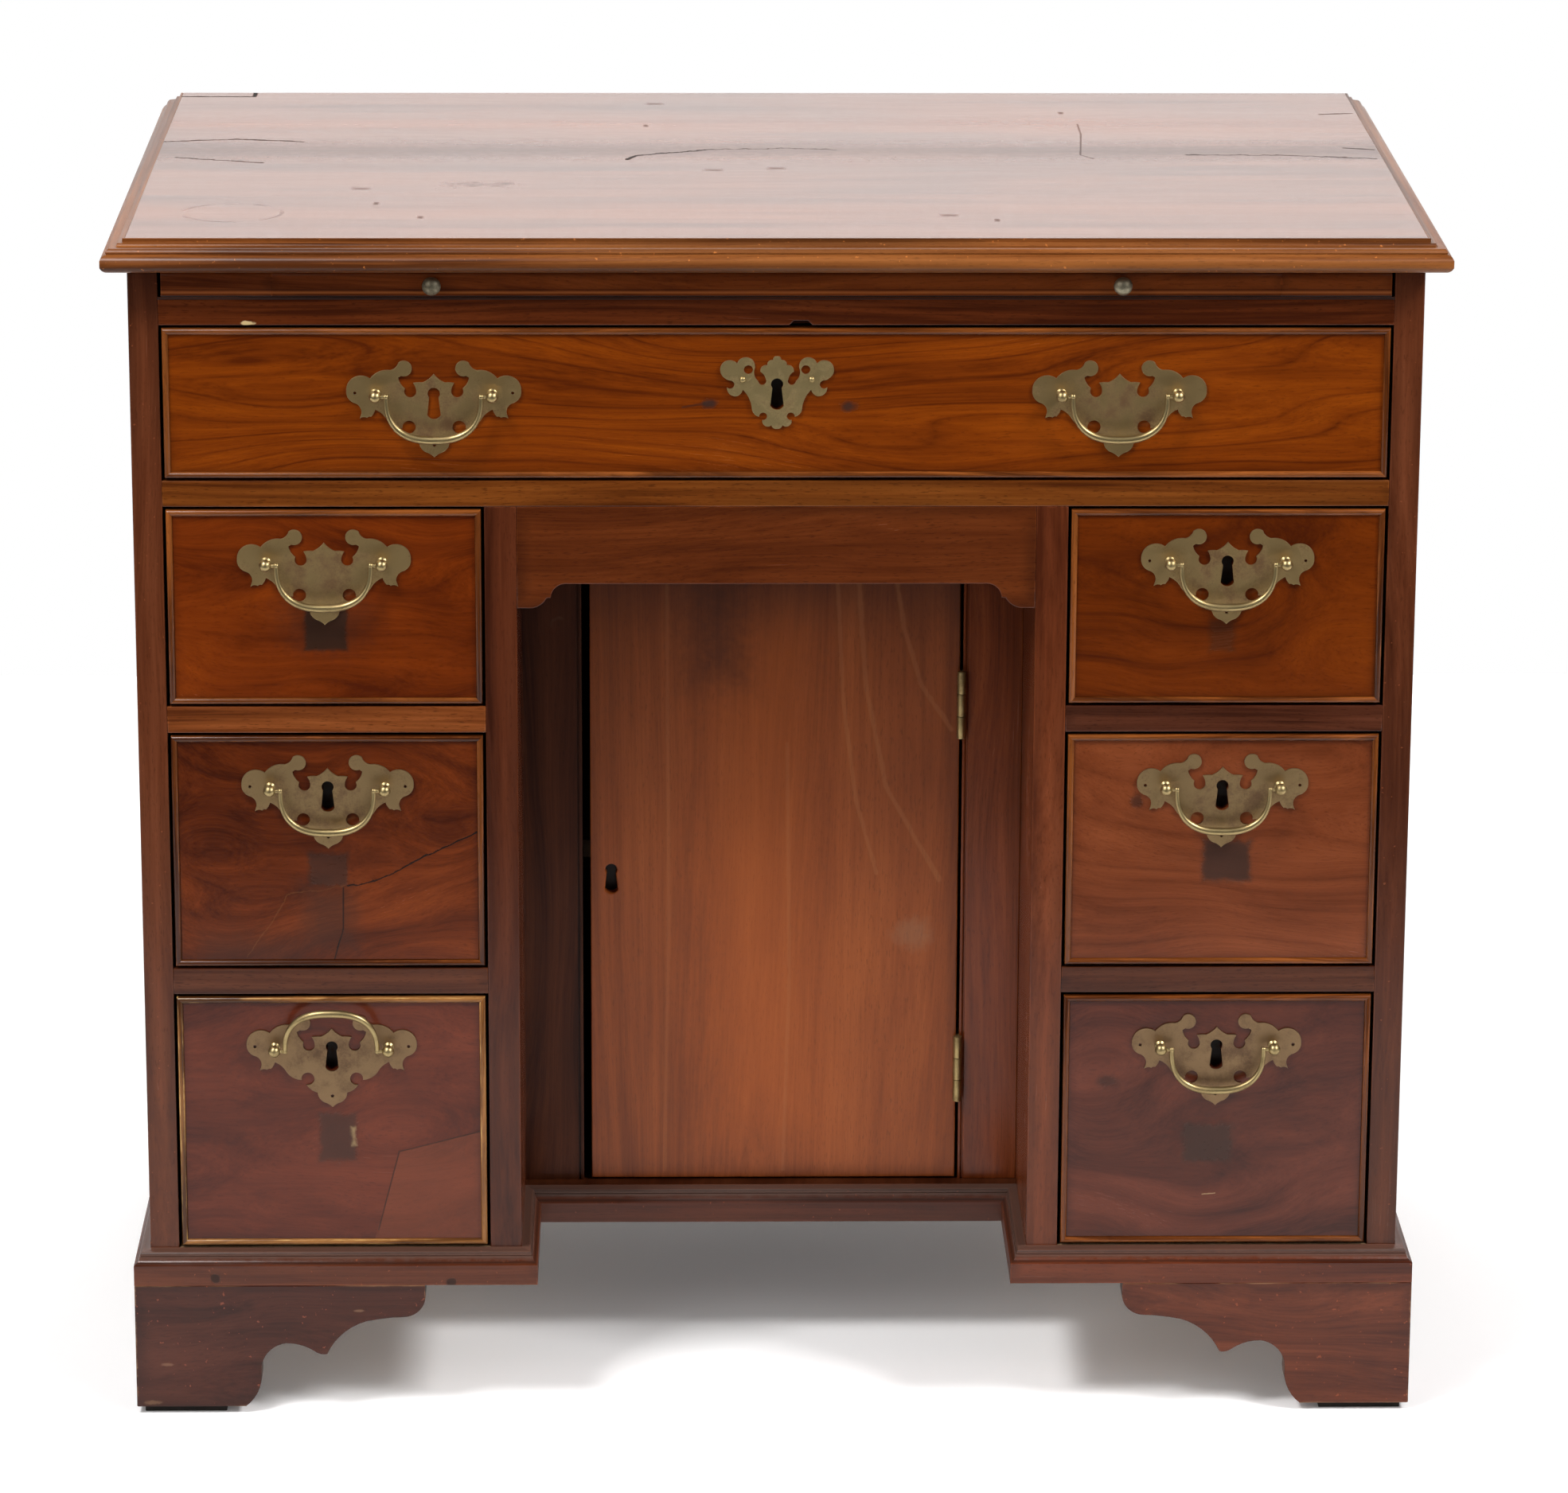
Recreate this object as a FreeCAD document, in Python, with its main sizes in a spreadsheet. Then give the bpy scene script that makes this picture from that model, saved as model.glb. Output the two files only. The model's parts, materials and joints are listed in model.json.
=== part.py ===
"""Kneehole desk: a mahogany carcass with a recessed cupboard, drawers, a brushing slide and brass handles.

X runs to the right along the front, Y to the back and Z up.
The origin is on the floor, under the middle of the top.
"""
import FreeCAD, Part
import math
import os
import re

from FreeCAD import Placement, Rotation, Vector

SIZES = [
    ("top_width", "850", "Top, over its moulded ends"),
    ("top_depth", "532", "Top, front edge to back edge"),
    ("desk_height", "790", "Floor to the top's surface"),
    ("top_thickness", "20", "Top board and its moulded edge"),
    ("top_edge_width", "15", "Moulded strip round the top"),
    ("side_overhang", "15", "Top beyond each side"),
    ("front_overhang", "24", "Top beyond the drawer fronts"),
    ("back_overhang", "4", "Top beyond the back boards"),
    ("side_thickness", "19", "Outer sides"),
    ("partition_thickness", "20.5", "Walls of the kneehole"),
    ("kneehole_width", "332", "Kneehole between its walls"),
    ("kneehole_depth", "130", "Front to the cupboard's face"),
    ("back_thickness", "10", "Back boards"),
    ("floor_thickness", "19", "Floors of the pedestals and the cupboard"),
    ("rail_depth", "60", "Front rails, front to back"),
    ("rail_thickness", "17.5", "Rails between the short drawers"),
    ("long_rail_thickness", "17", "Rail under the long drawer"),
    ("slide_rail_thickness", "18", "Rail under the slide"),
    ("slide_opening", "20", "Height of the slide's opening"),
    ("long_opening", "101", "Height of the long drawer's opening"),
    ("second_step", "27", "Middle short drawers' openings over the top ones"),
    ("third_step", "43", "Bottom short drawers' openings over the top ones"),
    ("runner_width", "22", "Drawer runners"),
    ("stop_length", "20", "Drawer stops, front to back"),
    ("stop_width", "34", "Drawer stops, along the rail"),
    ("stop_height", "4", "Drawer stops"),
    ("base_height", "90", "Floor to the base moulding"),
    ("moulding_height", "23", "Base moulding"),
    ("moulding_projection", "10.5", "Base moulding beyond the carcass"),
    ("moulding_flat", "13.5", "Plain lower part of the base moulding"),
    ("pad_height", "5", "Pads under the feet"),
    ("pad_inset", "5", "Pads inside the feet"),
    ("foot_thickness", "19", "Bracket feet"),
    ("foot_width", "72", "Bracket foot where it stands"),
    ("foot_reach", "191", "Bracket foot along the base moulding"),
    ("plain_foot_reach", "102", "Plain bracket behind a back foot"),
    ("block_width", "40", "Corner blocks behind the feet"),
    ("apron_thickness", "19", "Apron over the kneehole"),
    ("apron_height", "51", "Apron at its middle"),
    ("apron_drop", "16", "Shaped ends of the apron below its middle"),
    ("apron_end", "33", "Shaped ends of the apron, along it"),
    ("sill_depth", "10.5", "Cupboard's floor in front of its stiles"),
    ("stile_width", "39.5", "Stiles beside the door"),
    ("stile_bead", "2", "Bead along each stile's edge"),
    ("bead_groove", "1.4", "Width and depth of the groove beside that bead"),
    ("stile_thickness", "20", "Stiles and head of the cupboard's frame"),
    ("head_height", "69", "Head of the cupboard's frame"),
    ("door_thickness", "19", "Cupboard door"),
    ("door_gap", "1.5", "Door to the floor and the head"),
    ("lock_gap", "5.3", "Door to the lock stile"),
    ("hinge_gap", "2", "Door to the hinge stile"),
    ("hinge_height", "46", "Butt hinges"),
    ("hinge_leaf", "0.8", "Thickness of a hinge leaf"),
    ("hinge_leaf_depth", "15", "Hinge leaf into the joint"),
    ("hinge_proud", "3.2", "Hinge pin in front of the door's face"),
    ("knuckle_radius", "3", "Hinge knuckles"),
    ("hinge_pin_radius", "1.5", "Hinge pins"),
    ("knuckle_gap", "0.4", "Between hinge knuckles"),
    ("upper_hinge", "97.6", "Upper hinge under the cupboard's head, to its middle"),
    ("lower_hinge", "79.9", "Lower hinge above the cupboard's floor, to its middle"),
    ("shelf_height", "215", "Shelf above the cupboard's floor"),
    ("shelf_thickness", "12", "Cupboard shelf"),
    ("shelf_setback", "25", "Shelf behind the door"),
    ("drawer_gap", "2", "Round each drawer front and beside each drawer"),
    ("run_clearance", "0.3", "Sliding pieces above what carries them"),
    ("back_room", "20", "Drawers to the back boards"),
    ("front_thickness", "19", "Drawer fronts"),
    ("bead_width", "4", "Cockbeads"),
    ("bead_depth", "7", "Cockbeads into the drawer front"),
    ("drawer_side", "9", "Drawer sides and backs"),
    ("drawer_bottom", "7", "Drawer bottoms"),
    ("bottom_raise", "5", "Drawer bottom above the sides' lower edge"),
    ("side_drop", "7", "Drawer sides below the front's top"),
    ("slide_thickness", "17.5", "Brushing slide"),
    ("slide_room", "39", "Brushing slide to the back boards"),
    ("slide_clamp", "70", "Clamped ends of the slide"),
    ("slide_edge", "4", "Round along the slide's front"),
    ("knob_offset", "218", "Slide knobs from the middle"),
    ("knob_radius", "6", "Slide knobs"),
    ("knob_length", "13", "Slide knobs in front of the slide"),
    ("knob_neck", "2.4", "Radius of a knob's neck and screw"),
    ("knob_screw", "14", "Knob's screw into the slide"),
    ("handle_drop", "36", "Handle posts under a short drawer's opening"),
    ("long_handle_drop", "44", "Handle posts under the long drawer's opening"),
    ("long_handle_offset", "217.5", "Long drawer's handles from the middle"),
    ("post_spacing", "74", "Handle posts, middle to middle"),
    ("post_reach", "9", "Handle plate to the middle of a post's ball"),
    ("ball_radius", "4", "Ball of a handle post"),
    ("post_radius", "2.2", "Shank of a handle post"),
    ("collar_radius", "3.4", "Collar of a handle post"),
    ("nut_radius", "5", "Nut of a handle post"),
    ("nut_thickness", "3", "Nut of a handle post"),
    ("plate_thickness", "1.5", "Handle plates and the escutcheon"),
    ("plate_width", "110.8", "Handle plates, over their ears"),
    ("plate_nail_offset", "50", "Nail holes in a handle plate's ears, from its middle"),
    ("plate_nail_rise", "0.4", "Nail holes in a handle plate's ears, above the posts"),
    ("plate_nail_drop", "33.5", "Nail hole in a handle plate's tail, under the posts"),
    ("escutcheon_width", "68.6", "Escutcheon, over its lobes"),
    ("eye_offset", "18.2", "Round eyes in the escutcheon, from its middle"),
    ("eye_rise", "9.5", "Round eyes in the escutcheon, above the keyhole"),
    ("eye_radius", "2.9", "Round eyes in the escutcheon"),
    ("nail_radius", "1", "Nail holes in the plates"),
    ("bail_half_width", "30", "Bail's arms from its middle"),
    ("bail_depth", "28.2", "Bail below its pins"),
    ("bail_end_radius", "1.5", "Bail at its arms"),
    ("bail_grip_radius", "2.6", "Bail at its grip"),
    ("bail_pin_radius", "1.2", "Pins at the bail's ends"),
    ("pin_clearance", "0.05", "Round the bails' pins and the hinge pins"),
    ("raised_angle", "168", "Bail that is left turned up"),
    ("escutcheon_drop", "38", "Long drawer's keyhole under its opening"),
    ("escutcheon_pin_offset", "21.9", "Escutcheon pins from the middle"),
    ("escutcheon_pin_rise", "3.1", "Escutcheon pins above the keyhole"),
    ("escutcheon_pin_radius", "2", "Escutcheon pins"),
    ("escutcheon_pin_depth", "8", "Escutcheon pins into the drawer front"),
    ("lock_width", "50", "Lock cases"),
    ("lock_height", "54", "Lock cases"),
    ("lock_thickness", "10", "Lock cases"),
    ("bolt_width", "15", "Lock bolts"),
    ("bolt_thickness", "5", "Lock bolts"),
    ("bolt_length", "16", "Lock bolts"),
    ("bolt_travel", "7", "Drawers' lock bolts, out of their cases"),
    ("door_bolt_travel", "11", "Door's lock bolt, out of its case"),
    ("long_bolt_offset", "15", "Long drawer's bolt from its keyhole"),
    ("worn_notch_width", "14.5", "Worn notch in front of the long drawer's bolt"),
    ("worn_notch_height", "2.8", "That notch, up into the rail"),
    ("worn_notch_depth", "6", "That notch, back from the rail's face"),
    ("bolt_clearance", "0.3", "Round the lock bolts"),
    ("door_lock_rise", "219.4", "Door's keyhole above the cupboard's floor"),
    ("door_lock_inset", "13.8", "Door's keyhole from its free edge"),
    ("keyhole_radius", "3.9", "Round part of the keyholes"),
    ("keyhole_waist", "3", "Half the keyholes' waist"),
    ("keyhole_foot", "4.3", "Half the keyholes' foot"),
    ("keyhole_length", "14", "Keyholes, from the round to the foot"),
]

PLACES = [
    ("carcass_half", "top_width / 2 - side_overhang", "Middle to a side's outer face"),
    ("opening_half", "carcass_half - side_thickness", "Middle to a side's inner face"),
    ("field_half", "top_width / 2 - top_edge_width", "Middle to the end of the top board"),
    ("top_front", "-top_depth / 2", "Front edge of the top"),
    ("top_back", "top_depth / 2", "Back edge of the top"),
    ("carcass_front", "top_front + front_overhang", "Front of the carcass and the drawers"),
    ("carcass_back", "top_back - back_overhang", "Outer face of the back boards"),
    ("inside_back", "carcass_back - back_thickness", "Inner face of the back boards"),
    ("carcass_depth", "carcass_back - carcass_front", "Carcass, front to back"),
    ("inside_depth", "inside_back - carcass_front", "Front to the back boards"),
    ("top_underside", "desk_height - top_thickness", "Underside of the top"),
    ("floor_level", "base_height + moulding_height", "Top of the floors"),
    ("kneehole_half", "kneehole_width / 2", "Middle to a kneehole wall"),
    ("pedestal_inner", "kneehole_half + partition_thickness", "Middle to a pedestal's opening"),
    ("pedestal_opening", "opening_half - pedestal_inner", "Width of a pedestal's opening"),
    ("pedestal_centre", "(opening_half + pedestal_inner) / 2", "Middle of a pedestal's opening"),
    ("slide_level", "top_underside - slide_opening", "Bottom of the slide's opening"),
    ("slide_rail_level", "slide_level - slide_rail_thickness", "Underside of the slide rail"),
    ("long_level", "slide_rail_level - long_opening", "Bottom of the long drawer's opening"),
    ("long_rail_level", "long_level - long_rail_thickness", "Underside of the long drawer's rail"),
    ("short_openings", "long_rail_level - floor_level - 2 * rail_thickness",
     "Three short openings together"),
    ("first_opening", "(short_openings - second_step - third_step) / 3",
     "Height of the top short openings"),
    ("second_opening", "first_opening + second_step", "Height of the middle short openings"),
    ("third_opening", "first_opening + third_step", "Height of the bottom short openings"),
    ("first_level", "long_rail_level - first_opening", "Bottom of the top short drawers' openings"),
    ("upper_rail_level", "first_level - rail_thickness", "Underside of the upper short rails"),
    ("second_level", "upper_rail_level - second_opening", "Bottom of the middle short drawers' openings"),
    ("lower_rail_level", "second_level - rail_thickness", "Underside of the lower short rails"),
    ("rail_back", "carcass_front + rail_depth", "Back of the front rails"),
    ("cupboard_face", "carcass_front + kneehole_depth", "Front of the cupboard"),
    ("sill_front", "cupboard_face - sill_depth", "Front edge of the cupboard's floor"),
    ("door_opening_half", "kneehole_half - stile_width", "Middle to a stile's edge"),
    ("door_width", "2 * door_opening_half - lock_gap - hinge_gap", "Cupboard door"),
    ("door_left", "lock_gap - door_opening_half", "Free edge of the door"),
    ("door_bottom", "floor_level + door_gap", "Lower edge of the door"),
    ("head_level", "long_rail_level - head_height", "Underside of the cupboard's head"),
    ("door_height", "head_level - door_gap - door_bottom", "Cupboard door"),
    ("hinge_axis_x", "door_opening_half - hinge_gap / 2", "Hinge pins"),
    ("hinge_axis_y", "cupboard_face - hinge_proud", "Hinge pins"),
    ("knuckle_height", "hinge_height / 3 - knuckle_gap", "One hinge knuckle"),
    ("slide_depth", "inside_depth - slide_room", "Brushing slide, front to back"),
    ("drawer_length", "inside_depth - front_thickness - back_room", "Drawer sides"),
    ("front_back", "carcass_front + front_thickness", "Back of the drawer fronts"),
    ("foot_height", "base_height - pad_height", "Bracket feet"),
    ("foot_corner_x", "-carcass_half - moulding_projection", "Outer corner of a left foot"),
    ("foot_corner_y", "carcass_front - moulding_projection", "Outer corner of a front foot"),
    ("half_spacing", "post_spacing / 2", "Middle of a handle to a post"),
    ("lock_back", "front_thickness - lock_thickness", "Wood in front of a drawer lock"),
]

doc = FreeCAD.newDocument("KneeholeDesk")
nodes = []
sheet_of = {}


def formula(text):
    """Puts the sheet's name before every size in a formula."""
    return re.sub(r"[a-z]\w*", lambda word: f"{sheet_of[word.group()]}.{word.group()}", text)


def fill_sheet(name, rows):
    """Writes one row for each value: what it is, and the value under its alias."""
    sheet = doc.addObject("Spreadsheet::Sheet", name)
    for number, (alias, value, meaning) in enumerate(rows, 1):
        sheet.set(f"A{number}", meaning)
        sheet.set(f"B{number}",
                  value if value[-1].isdigit() and value[0].isdigit() else "=" + formula(value))
        sheet.setAlias(f"B{number}", alias)
        sheet_of[alias] = name
    doc.recompute()
    return sheet


def value(text):
    """The number that a formula of sizes gives."""
    words = re.sub(r"[a-z]\w*", lambda word: str(sheets[sheet_of[word.group()]].get(word.group())), text)
    return float(probe.evalExpression(words))


def bind(thing, **formulas):
    """Ties a piece's properties to formulas of the sheets."""
    for name, text in formulas.items():
        thing.setExpression(name, formula(text))
    return thing


def put(thing, x="0", y="0", z="0"):
    """Ties a piece's place to formulas of the sheets."""
    for axis, text in zip("xyz", (x, y, z)):
        thing.setExpression(f"Placement.Base.{axis}", formula(text))
    return thing


def board(name, x, y, z, length, width, height):
    """A straight board from its lowest corner and its three sizes."""
    piece = doc.addObject("Part::Box", name)
    bind(piece, Length=length, Width=width, Height=height)
    return put(piece, x, y, z)


def rod(name, direction, radius, height, x="0", y="0", z="0"):
    """A round bar that starts at a point and runs along a direction."""
    piece = doc.addObject("Part::Cylinder", name)
    piece.Placement.Rotation = Rotation(Vector(0, 0, 1), direction)
    bind(piece, Radius=radius, Height=height)
    return put(piece, x, y, z)


def group(name, pieces):
    """Separate pieces kept together."""
    piece = doc.addObject("Part::Compound", name)
    piece.Links = pieces
    return piece


def joined(name, pieces):
    """Pieces made one."""
    piece = doc.addObject("Part::MultiFuse", name)
    piece.Shapes = pieces
    piece.Refine = True
    return piece


def cut(name, base, tools):
    """A piece with one or more others taken out of it."""
    piece = doc.addObject("Part::Cut", name)
    piece.Base = base
    piece.Tool = tools[0] if len(tools) == 1 else joined(name + "_tool", tools)
    return piece


def mirrored(name, source, normal):
    """A piece seen in a mirror through the origin."""
    piece = doc.addObject("Part::Mirroring", name)
    piece.Source = source
    piece.Normal = normal
    return piece


def node(label, pieces):
    """Names a finished sub-part, one solid or several."""
    piece = group(label + "_set", pieces)
    piece.Label = label
    nodes.append(piece)
    return piece


def new_sketch(owner, name, role=None):
    """A sketch of its own, or on one of a body's origin planes."""
    if role is None:
        return doc.addObject("Sketcher::SketchObject", name)
    sketch = owner.newObject("Sketcher::SketchObject", name)
    plane = next(feature for feature in owner.Origin.OriginFeatures if feature.Role == role)
    sketch.AttachmentSupport = [(plane, "")]
    sketch.MapMode = "FlatFace"
    return sketch


def trace(sketch, start, steps):
    """Draws a closed outline: two numbers are a line's end, four are a point on an arc and its end."""
    here = Vector(start[0], start[1], 0)
    for step in steps:
        end = Vector(step[-2], step[-1], 0)
        if len(step) == 2:
            sketch.addGeometry(Part.LineSegment(here, end))
        else:
            sketch.addGeometry(Part.Arc(here, Vector(step[0], step[1], 0), end))
        here = end


def both_halves(start, steps):
    """An outline's right half from top to bottom, with its mirror image back to the top."""
    ends = [tuple(start)] + [tuple(step[-2:]) for step in steps]
    back = []
    for number in reversed(range(len(steps))):
        middle = () if len(steps[number]) == 2 else (-steps[number][0], steps[number][1])
        back.append(middle + (-ends[number][0], ends[number][1]))
    return list(steps) + back


def widened(outline, drawn_width, width):
    """An outline drawn at one width, made to another."""
    start, steps = outline
    share = width / drawn_width
    widened_steps = [tuple(share * number for number in step) for step in steps]
    return tuple(share * number for number in start), widened_steps


def padded(name, role, outline, length, holes=(), reverse=False):
    """A body whose outline, drawn on an origin plane, is carried through a thickness."""
    body = doc.addObject("PartDesign::Body", name)
    sketch = new_sketch(body, name + "_outline", role)
    trace(sketch, *outline)
    for hole in holes:
        if len(hole) == 2:
            trace(sketch, *hole)
        else:
            sketch.addGeometry(Part.Circle(Vector(hole[0], hole[1], 0), Vector(0, 0, 1), hole[2]))
    pad = body.newObject("PartDesign::Pad", name + "_pad")
    pad.Profile = sketch
    pad.Reversed = reverse
    bind(pad, Length=length)
    return body


def turned(name, outline):
    """A body turned about the Y axis from half its outline, drawn as radius and Y."""
    body = doc.addObject("PartDesign::Body", name)
    sketch = new_sketch(body, name + "_outline", "XY_Plane")
    trace(sketch, *outline)
    turn = body.newObject("PartDesign::Revolution", name + "_turn")
    turn.Profile = sketch
    turn.ReferenceAxis = (sketch, ["V_Axis"])
    turn.Angle = 360
    return body


def dome(radius, base, height):
    """The arc step of a round cap in front of a base: part of a sphere, up to the axis."""
    ball = (radius ** 2 + height ** 2) / (2 * height)
    half_turn = math.asin(radius / ball) / 2
    return (ball * math.sin(half_turn), base - height + ball * (1 - math.cos(half_turn)), 0, base - height)


def extruded(name, sketch, direction, length):
    """A sketch carried along a direction."""
    piece = doc.addObject("Part::Extrusion", name)
    piece.Base = sketch
    piece.DirMode = "Custom"
    piece.Dir = direction
    piece.Solid = True
    piece.LengthFwd = length
    return piece


def mitred_strip(name, profile, start, along, outward, length, mitres):
    """A moulded strip: its profile is drawn outward and across, and its ends are mitred by 1, -1 or 0."""
    across = outward.cross(along) if profile["turn"] else along.cross(outward)
    reach = profile["reach"]
    low, high = profile["span"]
    section = new_sketch(None, name + "_section")
    trace(section, *profile["outline"])
    axes = Rotation(outward, across, outward.cross(across), "XYZ")
    section.Placement = Placement(start - along * reach, axes)
    bar = extruded(name + "_bar", section, along, length + 2 * reach)
    plan = new_sketch(None, name + "_plan")
    trace(plan, (0, 0),
          [(-mitres[0] * reach, reach), (length + mitres[1] * reach, reach), (length, 0), (0, 0)])
    plan.Placement = Placement(start + across * low, Rotation(along, outward, along.cross(outward), "XYZ"))
    prism = extruded(name + "_prism", plan, across, high - low)
    strip = doc.addObject("Part::Common", name)
    strip.Base = bar
    strip.Tool = prism
    return strip


sheets = {"size": fill_sheet("size", SIZES)}
sheets["place"] = fill_sheet("place", PLACES)
probe = sheets["size"]

LEFT = Vector(-1, 0, 0)
RIGHT = Vector(1, 0, 0)
FORWARD = Vector(0, -1, 0)
BACKWARD = Vector(0, 1, 0)
UP = Vector(0, 0, 1)
DOWN = Vector(0, 0, -1)


def keyhole_outline():
    """A keyhole about its round part: the round, a waist and a foot that widens to a curve."""
    radius = value("keyhole_radius")
    waist = value("keyhole_waist")
    foot = value("keyhole_foot")
    neck = -math.sqrt(radius ** 2 - waist ** 2)
    bottom = -value("keyhole_length")
    return (waist, neck), [(foot, bottom), (0, bottom - foot * 0.6, -foot, bottom), (-waist, neck),
                           (0, radius, waist, neck)]


def handle_plate_outline():
    """The right half of a pierced batwing plate, from its crown to its tail, about the posts' level."""
    crown = (0, 12.7)
    half = [
        (3.0, 9.6, 7.0, 7.2),
        (10.0, 7.3, 13.0, 6.9),
        (11.7, 4.6, 11.05, 1.4),
        (14.9, -2.45, 18.2, 3.3),
        (21.1, 6.6, 22.5, 10.4),
        (20.6, 11.63),
        (13.8, 16.3, 22.3, 19.87),
        (24.3, 16.7, 27.5, 15.2),
        (35.2, 14.0, 40.3, 9.7),
        (50.9, 10.3, 55.4, 1.8),
        (53.9, -3.4, 49.7, -6.2),
        (46.4, -9.4, 46.1, -13.2),
        (47.1, -16.2),
        (44.8, -15.1, 42.4, -15.6),
        (41.0, -14.8, 39.9, -14.9),
        (38.2, -12.7, 37.2, -10.3),
        (33.0, -12.9, 30.2, -16.3),
        (26.4, -20.5, 20.0, -22.6),
        (12.2, -19.7, 16.9, -25.8),
        (14.2, -29.0, 9.6, -31.3),
        (8.6, -35.0, 4.0, -38.5),
        (1.6, -39.9, 0, -41.4),
    ]
    return widened((crown, both_halves(crown, half)), 110.8, value("plate_width"))


def escutcheon_outline():
    """The right half of the escutcheon, from its top lobe to its bottom lobe, about its keyhole's round."""
    crown = (0, 18.1)
    half = [
        (2.1, 17.3, 2.5, 15.6),
        (5.2, 14.9, 6.2, 12.3),
        (9.2, 11.6, 10.6, 8.2),
        (8.9, 6.9, 7.2, 3.4),
        (9.4, -0.5, 11.9, 1.9),
        (14.2, 5.2, 14.4, 9.5),
        (18.6, 17.3, 25.3, 13.4),
        (32.6, 14.9, 33.6, 4.5),
        (31.6, 3.1, 29.2, 2.5),
        (27.1, -0.6, 31.8, -2.1),
        (30.4, -5.9, 25.3, -7.6),
        (22.7, -5.6, 21.7, -3.4),
        (17.6, -9.3, 15.9, -16.0),
        (14.4, -19.2, 11.3, -21.0),
        (7.1, -18.9, 9.3, -23.3),
        (7.6, -26.9, 3.5, -26.5),
        (2.4, -28.3, 0, -28.9),
    ]
    return widened((crown, both_halves(crown, half)), 68.6, value("escutcheon_width"))


def top_profile():
    """The top's moulded edge: two small steps, a quarter round and a thick rounded lip."""
    width = value("top_edge_width")
    height = value("top_thickness")
    steps = [
        (0.1 * width, height),
        (0.1 * width, 0.88 * height),
        (0.3 * width, 0.87 * height),
        (0.34 * width, 0.795 * height, 0.42 * width, 0.77 * height),
        (0.55 * width, 0.76 * height),
        (0.69 * width, 0.72 * height, 0.76 * width, 0.61 * height),
        (0.73 * width, 0.59 * height),
        (width, 0.4 * height, 0.76 * width, 0),
        (0, 0),
        (0, height),
    ]
    return {"outline": ((0, height), steps), "reach": width, "span": (0, height), "turn": False}


def base_profile():
    """The base moulding: a sloping ledge, a bead and a hollow over a plain flat."""
    depth = value("moulding_projection")
    height = value("moulding_height")
    flat = value("moulding_flat")
    rise = height - flat
    steps = [
        (depth, 0),
        (depth, flat),
        (0.89 * depth, flat + 0.12 * rise),
        (0.71 * depth, flat + 0.3 * rise, 0.66 * depth, flat + 0.55 * rise),
        (0.58 * depth, flat + 0.55 * rise),
        (0.55 * depth, flat + 0.82 * rise, 0.37 * depth, flat + 0.88 * rise),
        (0, height),
        (0, 0),
    ]
    return {"outline": ((0, 0), steps), "reach": depth, "span": (0, height), "turn": False}


def bead_profile():
    """A cockbead: a strip let into the drawer front, with a full round that stands proud."""
    width = value("bead_width")
    depth = value("bead_depth")
    steps = [(width, -depth), (width, 0), (width / 2, width / 2, 0, 0), (0, -depth)]
    return {"outline": ((0, -depth), steps), "reach": width, "span": (-depth, width), "turn": True}


def strips_round_top():
    """The mitred strips along the front and both ends of the top."""
    profile = top_profile()
    half = value("field_half")
    front = value("top_front + top_edge_width")
    back = value("top_back")
    level = value("top_underside")
    right_end = mitred_strip("top_edge_right", profile, Vector(half, back, level), FORWARD, RIGHT,
                             back - front, (0, 1))
    front_edge = mitred_strip("top_edge_front", profile, Vector(half, front, level), LEFT, FORWARD,
                              2 * half, (1, 1))
    left_end = mitred_strip("top_edge_left", profile, Vector(-half, front, level), BACKWARD, LEFT,
                            back - front, (1, 0))
    return [right_end, front_edge, left_end]


def desk_top():
    """The top: a board and the moulded strips round three of its edges."""
    field = board("top_field", "-field_half", "top_front + top_edge_width", "top_underside",
                  "2 * field_half", "top_depth - top_edge_width", "top_thickness")
    node("desk_top", [field] + strips_round_top())


def carcass():
    """The upright boards: outer sides, kneehole walls and the boards across the back."""
    height = "top_underside - base_height"
    sides = []
    walls = []
    for hand, side_x, wall_x in (("left", "-carcass_half", "-pedestal_inner"),
                                 ("right", "opening_half", "kneehole_half")):
        sides.append(board(f"side_{hand}", side_x, "carcass_front", "base_height",
                           "side_thickness", "carcass_depth", height))
        walls.append(board(f"wall_{hand}", wall_x, "carcass_front", "base_height",
                           "partition_thickness", "inside_depth", "long_rail_level - base_height"))
    node("carcass_sides", sides)
    node("kneehole_walls", walls)
    boards = []
    count = 3
    for number in range(count):
        boards.append(board(f"back_{number}", "-opening_half", "inside_back",
                            f"base_height + {number} * ({height}) / {count}",
                            "2 * opening_half", "back_thickness", f"({height}) / {count}"))
    node("back_boards", boards)


def bolt_mortise(name, x, y, level):
    """The slot in a rail's underside that takes a lock's bolt."""
    return board(name, f"{x} - bolt_width / 2 - 2 * bolt_clearance", y, level,
                 "bolt_width + 4 * bolt_clearance", "lock_thickness", "bolt_travel + bolt_clearance")


def worn_notch_outline():
    """A low notch with sloping ends."""
    half = value("worn_notch_width / 2")
    height = value("worn_notch_height")
    return (-half, 0), [(half, 0), (half - height, height), (height - half, height), (-half, 0)]


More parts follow.
